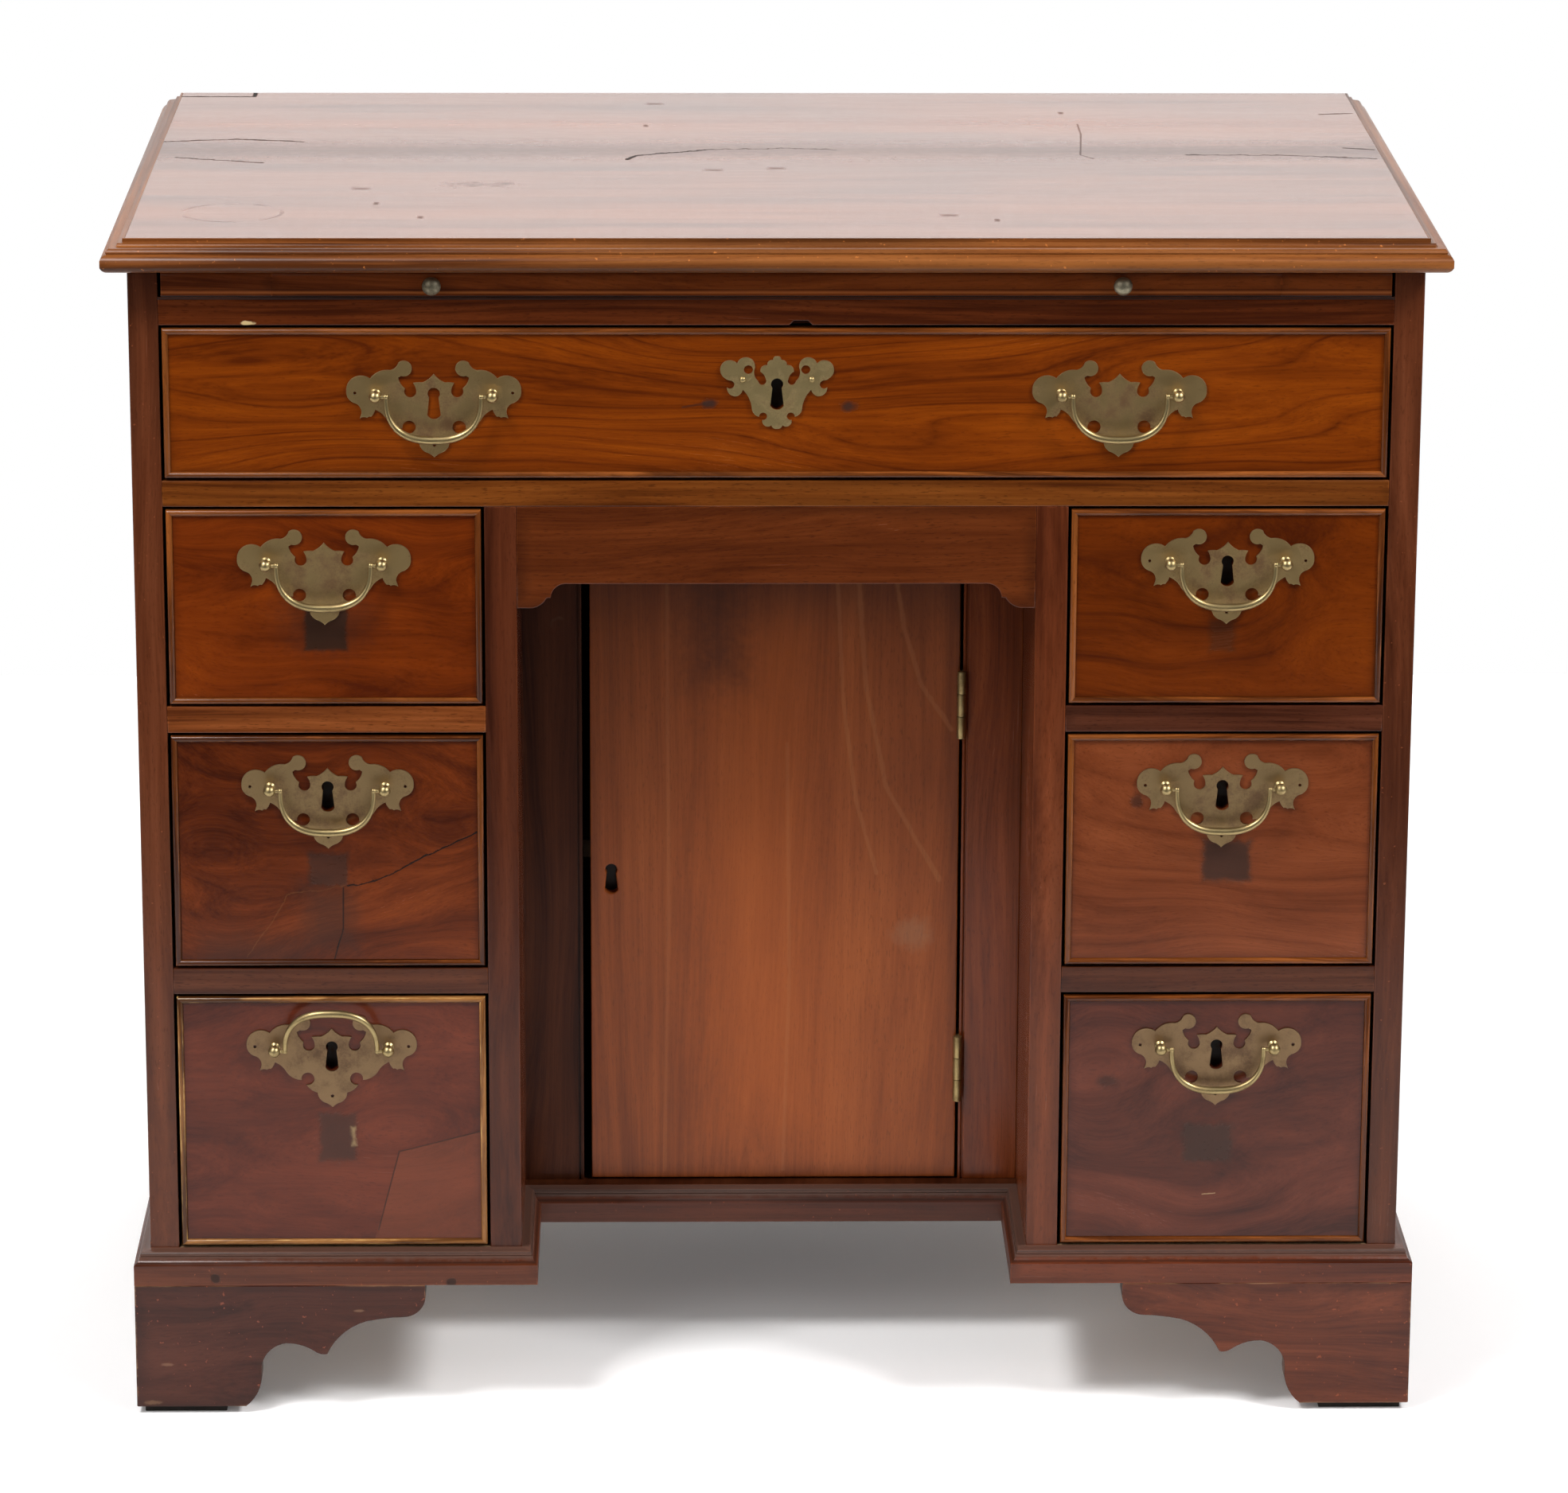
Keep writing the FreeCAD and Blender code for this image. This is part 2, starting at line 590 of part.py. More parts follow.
def rails():
    """The rails across the front, with mortises for the lock bolts and a notch worn under the slide rail."""
    slide = board("slide_rail", "-opening_half", "carcass_front", "slide_rail_level",
                  "2 * opening_half", "rail_depth", "slide_rail_thickness")
    slot = bolt_mortise("slide_rail_mortise", "long_bolt_offset", "carcass_front + lock_back",
                        "slide_rail_level")
    notch = padded("worn_notch", "XZ_Plane", worn_notch_outline(), "worn_notch_depth", reverse=True)
    put(notch, "long_bolt_offset", "carcass_front", "slide_rail_level")
    long = board("long_rail", "-opening_half", "carcass_front", "long_rail_level",
                 "2 * opening_half", "rail_depth", "long_rail_thickness")
    mortise = bolt_mortise("long_rail_mortise", "pedestal_centre", "carcass_front + lock_back",
                           "long_rail_level")
    pieces = [cut("slide_rail_cut", slide, [slot, notch]), cut("long_rail_cut", long, [mortise])]
    for hand, sign, start in (("left", "-", "-opening_half"), ("right", "", "pedestal_inner")):
        for level in ("upper_rail_level", "lower_rail_level"):
            name = f"{level}_{hand}"
            rail = board(name + "_board", start, "carcass_front", level, "pedestal_opening", "rail_depth",
                         "rail_thickness")
            slot = bolt_mortise(name + "_mortise", f"{sign}pedestal_centre", "carcass_front + lock_back",
                                level)
            pieces.append(cut(name + "_cut", rail, [slot]))
    node("front_rails", pieces)


def runners():
    """The runners behind the rails, the slide's runners, and the stops that hold the drawers flush."""
    length = "inside_back - rail_back"
    pieces = []
    for hand, outer, inner in (("left", "-opening_half", "-pedestal_inner - runner_width"),
                               ("right", "opening_half - runner_width", "pedestal_inner")):
        for level in ("upper_rail_level", "lower_rail_level"):
            for edge, x in (("outer", outer), ("inner", inner)):
                pieces.append(board(f"runner_{level}_{hand}_{edge}", x, "rail_back", level,
                                    "runner_width", length, "rail_thickness"))
        pieces.append(board(f"slide_runner_{hand}", outer, "rail_back", "slide_rail_level",
                            "runner_width", length, "slide_rail_thickness"))
        centre = "-pedestal_centre" if hand == "left" else "pedestal_centre"
        for level in ("first_level", "second_level", "floor_level"):
            pieces.append(board(f"stop_{level}_{hand}", f"{centre} - stop_width / 2",
                                "front_back + run_clearance", level,
                                "stop_width", "stop_length", "stop_height"))
        offset = "-long_handle_offset" if hand == "left" else "long_handle_offset"
        pieces.append(board(f"stop_long_{hand}", f"{offset} - stop_width / 2", "front_back + run_clearance",
                            "long_level",
                            "stop_width", "stop_length", "stop_height"))
    node("runners_and_stops", pieces)


def inner_boards():
    """The floors, the cupboard's shelf and the dust board that the long drawer runs on."""
    floor_z = "floor_level - floor_thickness"
    left = board("floor_left", "-opening_half", "carcass_front", floor_z, "pedestal_opening",
                 "inside_depth", "floor_thickness")
    right = board("floor_right", "pedestal_inner", "carcass_front", floor_z, "pedestal_opening",
                  "inside_depth", "floor_thickness")
    middle = board("floor_cupboard", "-kneehole_half", "sill_front", floor_z,
                   "kneehole_width", "inside_back - sill_front", "floor_thickness")
    shelf_y = "cupboard_face + door_thickness + shelf_setback"
    shelf = board("shelf", "-kneehole_half", shelf_y, "floor_level + shelf_height",
                  "kneehole_width", f"inside_back - ({shelf_y})", "shelf_thickness")
    dust = board("dust_board", "-opening_half", "rail_back", "long_rail_level",
                 "2 * opening_half", "inside_back - rail_back", "long_rail_thickness")
    node("floors_and_shelf", [left, right, middle, shelf, dust])


def apron():
    """The fixed apron over the kneehole, with an ogee bracket at each end."""
    half = value("kneehole_half")
    top = value("long_rail_level")
    middle = top - value("apron_height")
    tip = middle - value("apron_drop")
    end = value("apron_end")
    drop = value("apron_drop")
    right_half = [
        (half, top),
        (half, tip),
        (half - 0.2 * end, tip),
        (half - 0.45 * end, tip + 0.12 * drop, half - 0.58 * end, tip + 0.42 * drop),
        (half - 0.66 * end, tip + 0.42 * drop),
        (half - 0.76 * end, tip + 0.86 * drop, half - end, middle),
        (0, middle),
    ]
    outline = ((0, top), both_halves((0, top), right_half))
    body = padded("apron_board", "XZ_Plane", outline, "apron_thickness", reverse=True)
    node("apron", [put(body, y="carcass_front")])


def cupboard_frame():
    """The beaded stiles and the head that the door closes into, with a mortise for its bolt."""
    height = "long_rail_level - floor_level"
    left = board("stile_left", "-kneehole_half", "cupboard_face", "floor_level", "stile_width",
                 "stile_thickness", height)
    right = board("stile_right", "door_opening_half", "cupboard_face", "floor_level", "stile_width",
                  "stile_thickness", height)
    head = board("head", "-door_opening_half", "cupboard_face", "head_level",
                 "2 * door_opening_half", "stile_thickness", "head_height")
    depth = "door_bolt_travel - lock_gap"
    mortise = board("stile_mortise", f"-door_opening_half - ({depth})",
                    "cupboard_face + door_thickness - lock_thickness",
                    "floor_level + door_lock_rise - bolt_width / 2 - 2 * bolt_clearance",
                    depth, "lock_thickness", "bolt_width + 4 * bolt_clearance")
    left_groove = board("groove_left", "-door_opening_half - stile_bead - bead_groove", "cupboard_face",
                        "floor_level",
                        "bead_groove", "bead_groove", height)
    right_groove = board("groove_right", "door_opening_half + stile_bead", "cupboard_face", "floor_level",
                         "bead_groove", "bead_groove", height)
    node("cupboard_frame", [cut("stile_left_cut", left, [mortise, left_groove]),
                            cut("stile_right_cut", right, [right_groove]), head])


def base_mouldings():
    """The mitred moulding round the base, in and out of the kneehole."""
    profile = base_profile()
    half = value("carcass_half")
    inner = value("kneehole_half")
    front = value("carcass_front")
    recess = value("sill_front")
    back = value("carcass_back")
    level = value("base_height")
    corners = [(half, back), (half, front), (inner, front), (inner, recess),
               (-inner, recess), (-inner, front), (-half, front), (-half, back)]
    faces = [RIGHT, FORWARD, LEFT, FORWARD, RIGHT, FORWARD, LEFT]
    mitres = [(0, 1), (1, 1), (1, -1), (-1, -1), (-1, 1), (1, 1), (1, 0)]
    names = ["right_end", "right_front", "right_return", "kneehole", "left_return", "left_front",
             "left_end"]
    pieces = []
    for number, name in enumerate(names):
        start = Vector(*corners[number], level)
        run = Vector(*corners[number + 1], level) - start
        along = run / run.Length
        pieces.append(mitred_strip(f"moulding_{name}", profile, start, along, faces[number], run.Length,
                                   mitres[number]))
    node("base_mouldings", pieces)


def foot_outline():
    """A scrolled bracket: the foot, a round hollow, a cusp, a longer hollow and a rounded end."""
    width = value("foot_width")
    scroll = value("foot_reach") - width
    height = value("foot_height")
    curves = [
        (0.063, 0.106, 0.088, 0.29),
        (0.13, 0.45, 0.227, 0.52),
        (0.319, 0.5, 0.387, 0.45),
        (0.42, 0.43, 0.454, 0.43),
        (0.521, 0.57, 0.672, 0.7),
        (0.782, 0.725, 0.891, 0.735),
        (0.966, 0.785, 1, 0.94),
    ]
    steps = [(width, 0)]
    for mid_x, mid_z, end_x, end_z in curves:
        steps.append((width + mid_x * scroll, mid_z * height, width + end_x * scroll, end_z * height))
    steps += [(width + scroll, height), (0, height), (0, 0)]
    return (0, 0), steps


def plain_foot_outline():
    """The plain bracket behind a back foot, cut away on a slope."""
    height = value("foot_height")
    width = value("foot_width")
    reach = value("plain_foot_reach")
    return (0, 0), [(width, 0), (reach, 0.6 * height), (reach, height), (0, height), (0, 0)]


def mitred_bracket(name, outline):
    """A bracket along X from the foot's outer corner, mitred there to meet its neighbour."""
    body = padded(name + "_board", "XZ_Plane", outline, "foot_thickness", reverse=True)
    reach = value("foot_thickness")
    wedge = padded(name + "_mitre", "XY_Plane", ((0, 0), [(0, reach), (reach, reach), (0, 0)]),
                   "foot_height")
    return cut(name, body, [wedge])


def feet():
    """Four bracket feet, each with two mitred brackets, a corner block and a dark pad under it."""
    scrolled = mitred_bracket("bracket_scrolled", foot_outline())
    plain = mitred_bracket("bracket_plain", plain_foot_outline())
    scrolled_return = mirrored("bracket_return", scrolled, Vector(1, -1, 0))
    block = board("foot_block", "foot_thickness", "foot_thickness", "0", "block_width", "block_width",
                  "foot_height")
    pad_size = "foot_thickness + block_width - pad_inset"
    pad = board("foot_pad", "pad_inset", "pad_inset", "-pad_height", pad_size, pad_size, "pad_height")
    front_left = group("foot_front_left", [scrolled, scrolled_return, block, pad])
    put(front_left, "foot_corner_x", "foot_corner_y", "pad_height")
    back_corner = group("foot_back_corner", [plain, scrolled_return, block, pad])
    back_flipped = mirrored("foot_back_flipped", back_corner, BACKWARD)
    back_left = group("foot_back_left", [back_flipped])
    put(back_left, "foot_corner_x", "carcass_back", "pad_height")
    pieces = [front_left, back_left]
    for corner in (front_left, back_left):
        pieces.append(mirrored(corner.Name + "_other", corner, RIGHT))
    node("bracket_feet", pieces)


def lock_case(name, x, face_y, top, shift="0"):
    """A lock let into the back of a drawer front, with a slot for its bolt, which may stand to one side."""
    y = f"{face_y} + lock_back"
    case = board(name + "_case", f"{x} - lock_width / 2", y, f"{top} - lock_height", "lock_width",
                 "lock_thickness", "lock_height")
    slot = board(name + "_slot", f"{x} + {shift} - bolt_width / 2 - bolt_clearance",
                 f"{y} + (lock_thickness - bolt_thickness) / 2 - bolt_clearance",
                 f"{top} - bolt_length - 2 * bolt_clearance",
                 "bolt_width + 2 * bolt_clearance", "bolt_thickness + 2 * bolt_clearance",
                 "bolt_length + 2 * bolt_clearance")
    bolt = board(name + "_bolt_bar", f"{x} + {shift} - bolt_width / 2",
                 f"{y} + (lock_thickness - bolt_thickness) / 2",
                 f"{top} - bolt_length - bolt_clearance", "bolt_width", "bolt_thickness", "bolt_length")
    return cut(name + "_body", case, [slot]), bolt


def keyhole_through(name, x, y, z):
    """A keyhole's space, at a place on a face."""
    return put(group(name, [keyhole_tool]), x, y, z)


def cockbeads(name, x, level, width, opening):
    """The four mitred beads round a drawer front."""
    profile = bead_profile()
    edge = value("drawer_gap + bead_width")
    left = value(f"{x} - ({width}) / 2") + edge
    right = value(f"{x} + ({width}) / 2") - edge
    low = value(level) + edge
    high = value(f"{level} + {opening}") - edge
    face = value("carcass_front")
    runs = [("top", (right, high), LEFT, UP, right - left), ("left", (left, high), DOWN, LEFT, high - low),
            ("bottom", (left, low), RIGHT, DOWN, right - left),
            ("right", (right, low), UP, RIGHT, high - low)]
    pieces = []
    for side, corner, along, outward, length in runs:
        start = Vector(corner[0], face, corner[1])
        pieces.append(mitred_strip(f"{name}_bead_{side}", profile, start, along, outward, length, (1, 1)))
    return pieces


def drawer_front(name, x, level, width, opening, tools):
    """A drawer front, rebated round its face for the cockbeads, with its holes."""
    back = board(name + "_front_back", f"{x} - ({width}) / 2 + drawer_gap", "carcass_front + bead_depth",
                 f"{level} + drawer_gap", f"{width} - 2 * drawer_gap", "front_thickness - bead_depth",
                 f"{opening} - 2 * drawer_gap")
    inset = "(drawer_gap + bead_width)"
    face = board(name + "_front_face", f"{x} - ({width}) / 2 + {inset}", "carcass_front",
                 f"{level} + {inset}",
                 f"{width} - 2 * {inset}", "bead_depth", f"{opening} - 2 * {inset}")
    return cut(name + "_front_cut", joined(name + "_front_board", [back, face]), tools)


def drawer_box(name, x, level, width, opening):
    """The drawer's sides, back and bottom."""
    left = f"{x} - ({width}) / 2 + drawer_gap"
    z = f"{level} + run_clearance"
    height = f"{opening} - drawer_gap - side_drop - run_clearance"
    inner = f"{width} - 2 * drawer_gap - 2 * drawer_side"
    raised = f"{z} + bottom_raise"
    sides = [board(f"{name}_side_{hand}", place, "front_back", z, "drawer_side", "drawer_length", height)
             for hand, place in (("left", left), ("right", f"{left} + {inner} + drawer_side"))]
    bottom = board(name + "_bottom", f"{left} + drawer_side", "front_back", raised, inner, "drawer_length",
                   "drawer_bottom")
    back = board(name + "_back", f"{left} + drawer_side", "front_back + drawer_length - drawer_side",
                 f"{raised} + drawer_bottom", inner, "drawer_side",
                 f"{height} - bottom_raise - drawer_bottom - side_drop")
    return sides + [bottom, back]


def post_holes(name, x, z):
    """The two holes of a handle through a drawer front."""
    return [rod(f"{name}_hole_{hand}", BACKWARD, "post_radius", "front_thickness",
                f"{x} {sign} half_spacing", "carcass_front", z) for hand,
            sign in (("left", "-"), ("right", "+"))]


def locked_tools(name, x, top, keyhole_z):
    """What a lock takes out of a drawer front: its recess and its keyhole."""
    recess = board(name + "_recess", f"{x} - lock_width / 2", "carcass_front + lock_back",
                   f"{top} - lock_height",
                   "lock_width", "lock_thickness", "lock_height")
    return [recess, keyhole_through(name + "_keyhole", x, "carcass_front", keyhole_z)]


def short_drawer(hand, number, level, opening, pierced, raised):
    """One short drawer with its front, box, handle, and its lock if the plate has a keyhole."""
    name = f"{hand}_{number}"
    x = "-pedestal_centre" if hand == "left" else "pedestal_centre"
    width = "pedestal_opening"
    top = f"{level} + {opening} - drawer_gap"
    post_z = f"{level} + {opening} - handle_drop"
    tools = post_holes(name, x, post_z)
    if pierced:
        tools += locked_tools(name, x, top, post_z)
    node(f"drawer_front_{name}", [drawer_front(name, x, level, width, opening, tools)]
         + cockbeads(name, x, level, width, opening))
    node(f"drawer_box_{name}", drawer_box(name, x, level, width, opening))
    put(node(f"handle_plate_{name}", [pierced_plate if pierced else plain_plate] + posts), x,
        "carcass_front", post_z)
    bail = node(f"bail_{name}", [bail_bar])
    if raised:
        bail.Placement.Rotation = Rotation(LEFT, value("raised_angle"))
    put(bail, x, "carcass_front - plate_thickness - post_reach", post_z)
    if pierced:
        case, bolt = lock_case(name + "_lock", x, "carcass_front", top)
        node(f"lock_{name}", [case])
        node(f"lock_bolt_{name}", [bolt])


def long_drawer():
    """The long drawer, with two handles and a lock behind the escutcheon."""
    name = "long"
    width = "2 * opening_half"
    top = "long_level + long_opening - drawer_gap"
    post_z = "long_level + long_opening - long_handle_drop"
    keyhole_z = "long_level + long_opening - escutcheon_drop"
    places = (("left", "-long_handle_offset"), ("right", "long_handle_offset"))
    tools = locked_tools(name, "0", top, keyhole_z)
    for hand, x in places:
        tools += post_holes(f"long_{hand}", x, post_z)
    for hand, sign in (("left", "-"), ("right", "")):
        tools.append(rod(f"escutcheon_hole_{hand}", BACKWARD, "nail_radius", "escutcheon_pin_depth",
                         f"{sign}escutcheon_pin_offset", "carcass_front",
                         f"{keyhole_z} + escutcheon_pin_rise"))
    node("long_drawer_front", [drawer_front(name, "0", "long_level", width, "long_opening", tools)]
         + cockbeads(name, "0", "long_level", width, "long_opening"))
    node("long_drawer_box", drawer_box(name, "0", "long_level", width, "long_opening"))
    plates = []
    for hand, x in places:
        plate = pierced_plate if hand == "left" else plain_plate
        plates.append(put(group(f"long_plate_{hand}", [plate] + posts), x, "carcass_front", post_z))
    node("long_drawer_plates", plates)
    for hand, x in places:
        put(node(f"bail_long_{hand}", [bail_bar]), x, "carcass_front - plate_thickness - post_reach",
            post_z)
    put(node("escutcheon", [escutcheon_plate] + escutcheon_pins), "0", "carcass_front", keyhole_z)
    case, bolt = lock_case("long_lock", "0", "carcass_front", top, "long_bolt_offset")
    node("long_drawer_lock", [case])
    node("long_drawer_bolt", [bolt])


def brushing_slide():
    """The slide under the top: a board with clamped ends, a rounded front edge and two brass knobs."""
    z = "slide_level + run_clearance"
    half = "(opening_half - drawer_gap)"
    height = value("slide_thickness")
    depth = value("slide_depth")
    edge = value("slide_edge")
    profile = ((0, 0),
              
      
[(depth, 0), (depth, height), (edge, height), (0.3 * edge, height - 0.3 * edge, 0, height - edge), (0, 0)])
    middle = padded("slide_middle", "YZ_Plane", profile, f"2 * ({half} - slide_clamp)")
    put(middle, f"slide_clamp - {half}", "carcass_front", z)
    clamps = []
    for hand, x in (("left", f"-{half}"), ("right", f"{half} - slide_clamp")):
        clamp = padded(f"slide_clamp_{hand}", "YZ_Plane", profile, "slide_clamp")
        clamps.append(put(clamp, x, "carcass_front", z))
    holes = []
    knobs = []
    centre = f"{z} + slide_thickness / 2"
    for hand, x in (("left", "-knob_offset"), ("right", "knob_offset")):
        holes.append(rod(f"knob_hole_{hand}", BACKWARD, "knob_neck", "knob_screw", x, "carcass_front",
                         centre))
        knobs.append(put(group(f"knob_{hand}", [knob_turned]), x, "carcass_front", centre))
    node("brushing_slide", [cut("slide_bored", middle, holes)] + clamps)
    node("slide_knobs", knobs)


def knob():
    """A small turned knob with a flat collar, a neck and a domed head, and the screw behind it."""
    radius = value("knob_radius")
    length = value("knob_length")
    neck = value("knob_neck")
    screw = value("knob_screw")
    outline = ((0, screw), [
        (neck, screw), (neck, 0), (0.62 * radius, 0), (0.62 * radius, -0.12 * length),
                            (neck, -0.3 * length),
        (neck, -0.5 * length), (0.8 * radius, -0.6 * length), (radius, -0.72 * length),
        dome(radius, -0.72 * length, 0.28 * length), (0, screw)])
    return turned("knob_turned", outline)


def escutcheon_nails():
    """The two domed pins that hold the escutcheon."""
    head = value("escutcheon_pin_radius")
    shank = value("nail_radius")
    depth = value("escutcheon_pin_depth")
    seat = -value("plate_thickness")
    outline = ((0, depth),
               [(shank, depth), (shank, seat), (head, seat), dome(head, seat, 0.7 * head), (0, depth)])
    nail = turned("escutcheon_nail", outline)
    pieces = []
    for hand, sign in (("left", "-"), ("right", "")):
        pieces.append(put(group(f"escutcheon_pin_{hand}", [nail]), f"{sign}escutcheon_pin_offset", "0",
                          "escutcheon_pin_rise"))
    return pieces


def handle_posts():
    """A pair of handle posts through the plate: collar, neck, a ball bored for the bail's pin, and a nut."""
    plate = value("plate_thickness")
    thickness = value("front_thickness")
    shank = value("post_radius")
    collar = value("collar_radius")
    ball = value("ball_radius")
    middle = -plate - value("post_reach")
    seat = middle + math.sqrt(ball ** 2 - shank ** 2)
    outline = ((0, thickness + value("nut_thickness")), [
        (shank, thickness + value("nut_thickness")), (shank, -plate), (collar, -plate),
                                                         (collar, -plate - 1),
        (shank, -plate - 2.2), (shank, seat), (ball, middle, 0, middle - ball),
                                                         (0, thickness + value("nut_thickness"))])
    blank = turned("post_blank", outline)
    bore = rod("post_bore", RIGHT, "bail_pin_radius + pin_clearance", "2 * ball_radius", "0",
               "-plate_thickness - post_reach")
    post = cut("post_bored", blank, [bore])
    nut_disc = rod("nut_disc", BACKWARD, "nut_radius", "nut_thickness", "0", "front_thickness")
    nut_hole = rod("nut_hole", BACKWARD, "post_radius", "nut_thickness", "0", "front_thickness")
    nut = cut("nut", nut_disc, [nut_hole])
    pieces = []
    for hand, x, turn in (("left", "-half_spacing", 0), ("right", "half_spacing", 180)):
        pair = group(f"post_{hand}", [post, nut])
        pair.Placement.Rotation = Rotation(BACKWARD, turn)
        pieces.append(put(pair, x))
    return pieces


def bail():
    """A hanging bail: two pins, and a bar on a squared half-ellipse that swells to a grip at the middle."""
    half_width = value("bail_half_width")
    depth = value("bail_depth")
    slim = value("bail_end_radius")
    grip = value("bail_grip_radius")
    rings = 18
    squareness = 0.78

    def bar_point(turn):
        across = math.cos(turn)
        along = math.copysign(abs(across) ** squareness, across)
        return Vector(-half_width * along, 0, -depth * max(math.sin(turn), 0) ** squareness)

    sections = []
    for number in range(rings + 1):
        turn = math.pi * number / rings
        step = 0.02
        heading = bar_point(min(turn + step, math.pi)) - bar_point(max(turn - step, 0))
        if number in (0, rings):
            heading = DOWN if number == 0 else UP
        radius = slim + (grip - slim) * math.sin(turn) ** 2
        sections.append(Part.Wire(Part.makeCircle(radius, bar_point(turn), heading)))
    bar = doc.addObject("Part::Feature", "bail_curve")
    bar.Shape = Part.makeLoft(sections, True, True)
    pieces = [bar]
    for hand, sign, direction in (("left", "-", LEFT), ("right", "", RIGHT)):
        pieces.append(rod(f"bail_pin_{hand}", direction, "bail_pin_radius",
                          "half_spacing - bail_half_width - run_clearance", f"{sign}bail_half_width"))
        elbow = doc.addObject("Part::Sphere", f"bail_elbow_{hand}")
        bind(elbow, Radius="bail_end_radius * 1.2")
        pieces.append(put(elbow, f"{sign}bail_half_width"))
    return joined("bail_bar", pieces)


def hinges():
    """Two butt hinges: the fixed leaves with the pins, and the leaves that turn with the door."""
    fixed = []
    moving = []
    for name, middle in (("upper", "head_level - upper_hinge"), ("lower", "floor_level + lower_hinge")):
        low = f"{middle} - hinge_height / 2"
        start = [f"{low} + {number} * hinge_height / 3 + knuckle_gap / 2" for number in range(3)]
        pin = rod(f"{name}_pin", UP, "hinge_pin_radius", "hinge_height", "hinge_axis_x", "hinge_axis_y",
                  low)
        bore = rod(f"{name}_bore", UP, "hinge_pin_radius + pin_clearance", "hinge_height", "hinge_axis_x",
                   "hinge_axis_y", low)
        leaves = {}
        for side, x in (("stile", "hinge_axis_x + hinge_gap / 2 - hinge_leaf"),
                        ("door", "hinge_axis_x - hinge_gap / 2")):
            leaf = board(f"{name}_{side}_leaf", x, "cupboard_face", low, "hinge_leaf", "hinge_leaf_depth",
                         "hinge_height")
            pieces = [leaf]
            for number in ((0, 2) if side == "stile" else (1,)):
                pieces.append(rod(f"{name}_knuckle_{number}", UP, "knuckle_radius", "knuckle_height",
                                  "hinge_axis_x", "hinge_axis_y", start[number]))
                pieces.append(board(f"{name}_tab_{number}", x, "hinge_axis_y", start[number],
                                    "hinge_leaf", "hinge_proud", "knuckle_height"))
            leaves[side] = cut(f"{name}_{side}_bored", joined(f"{name}_{side}_joined", pieces), [bore])
        fixed += [leaves["stile"], pin]
        moving.append(leaves["door"])
    node("frame_hinge_leaves", fixed)
    node("door_hinge_leaves", moving)


def cupboard_door():
    """The door, its lock let into the back of it, and the bolt that shoots into the lock stile."""
    height = "floor_level + door_lock_rise"
    back = "cupboard_face + door_thickness - lock_thickness"
    low = f"{height} - lock_width / 2"
    panel = board("door_panel", "door_left", "cupboard_face", "door_bottom", "door_width", "door_thickness",
                  "door_height")
    recess = board("door_recess", "door_left", back, low, "lock_height", "lock_thickness", "lock_width")
    keyhole = keyhole_through("door_keyhole", "door_left + door_lock_inset", "cupboard_face", height)
    node("cupboard_door", [cut("door_cut", panel, [recess, keyhole])])
    case = board("door_lock_case", "door_left", back, low, "lock_height", "lock_thickness", "lock_width")
    slot = board("door_lock_slot", "door_left",
                 f"{back} + (lock_thickness - bolt_thickness) / 2 - bolt_clearance",
                 f"{height} - bolt_width / 2 - bolt_clearance", "bolt_length + 2 * bolt_clearance",
                 "bolt_thickness + 2 * bolt_clearance", "bolt_width + 2 * bolt_clearance")
    node("door_lock", [cut("door_lock_body", case, [slot])])
    bolt = board("door_bolt_bar", "door_left + bolt_clearance",
                 f"{back} + (lock_thickness - bolt_thickness) / 2",
                 f"{height} - bolt_width / 2", "bolt_length", "bolt_thickness", "bolt_width")
    node("door_bolt", [bolt])


def save():
    """Checks every object and each sub-part's solids, and writes one file for each sub-part."""
    doc.recompute()
    for thing in doc.Objects:
        if "Invalid" in thing.State or "Error" in thing.State:
            raise RuntimeError(f"{thing.Label} failed: {thing.State}")
    os.makedirs("parts", exist_ok=True)
    for piece in nodes:
        shape = piece.Shape
        if shape.isNull() or not shape.isValid() or not shape.Solids:
            raise RuntimeError(f"{piece.Label} has no valid solid")
        shape.exportStep(f"parts/{piece.Label}.step")
    print(len(nodes), "sub-parts,", sum(len(piece.Shape.Solids) for piece in nodes), "solids")


keyhole_tool = padded("keyhole_tool", "XZ_Plane", keyhole_outline(), "front_thickness", reverse=True)
post_hole_pair = [(sign * value("half_spacing"), 0, value("post_radius")) for sign in (-1, 1)]
nail_holes = [(sign * value("plate_nail_offset"), value("plate_nail_rise"),
               value("nail_radius")) for sign in (-1, 1)]
nail_holes.append((0, -value("plate_nail_drop"), value("nail_radius")))
plain_plate = padded("plain_plate", "XZ_Plane", handle_plate_outline(), "plate_thickness", post_hole_pair)
pierced_plate = padded("pierced_plate", "XZ_Plane", handle_plate_outline(), "plate_thickness",
                       post_hole_pair + nail_holes + [keyhole_outline()])
eyes = [(sign * value("eye_offset"), value("eye_rise"), value("eye_radius")) for sign in (-1, 1)]
pin_holes = [(sign * value("escutcheon_pin_offset"), value("escutcheon_pin_rise"),
              value("nail_radius")) for sign in (-1, 1)]
escutcheon_plate = padded("escutcheon_plate", "XZ_Plane", escutcheon_outline(), "plate_thickness",
                          eyes + pin_holes + [keyhole_outline()])
escutcheon_pins = escutcheon_nails()
posts = handle_posts()
bail_bar = bail()
knob_turned = knob()

desk_top()
carcass()
rails()
runners()
inner_boards()
apron()
cupboard_frame()
base_mouldings()
feet()
hinges()
cupboard_door()
brushing_slide()
long_drawer()
for side in ("left", "right"):
    short_drawer(side, 1, "first_level", "first_opening", side == "right", False)
    short_drawer(side, 2, "second_level", "second_opening", True, False)
    short_drawer(side, 3, "floor_level", "third_opening", True, side == "left")
save()
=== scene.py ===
"""Looks of the kneehole desk: worn mahogany, aged brasses, a pale sweep and soft light."""

import json
import math
import random

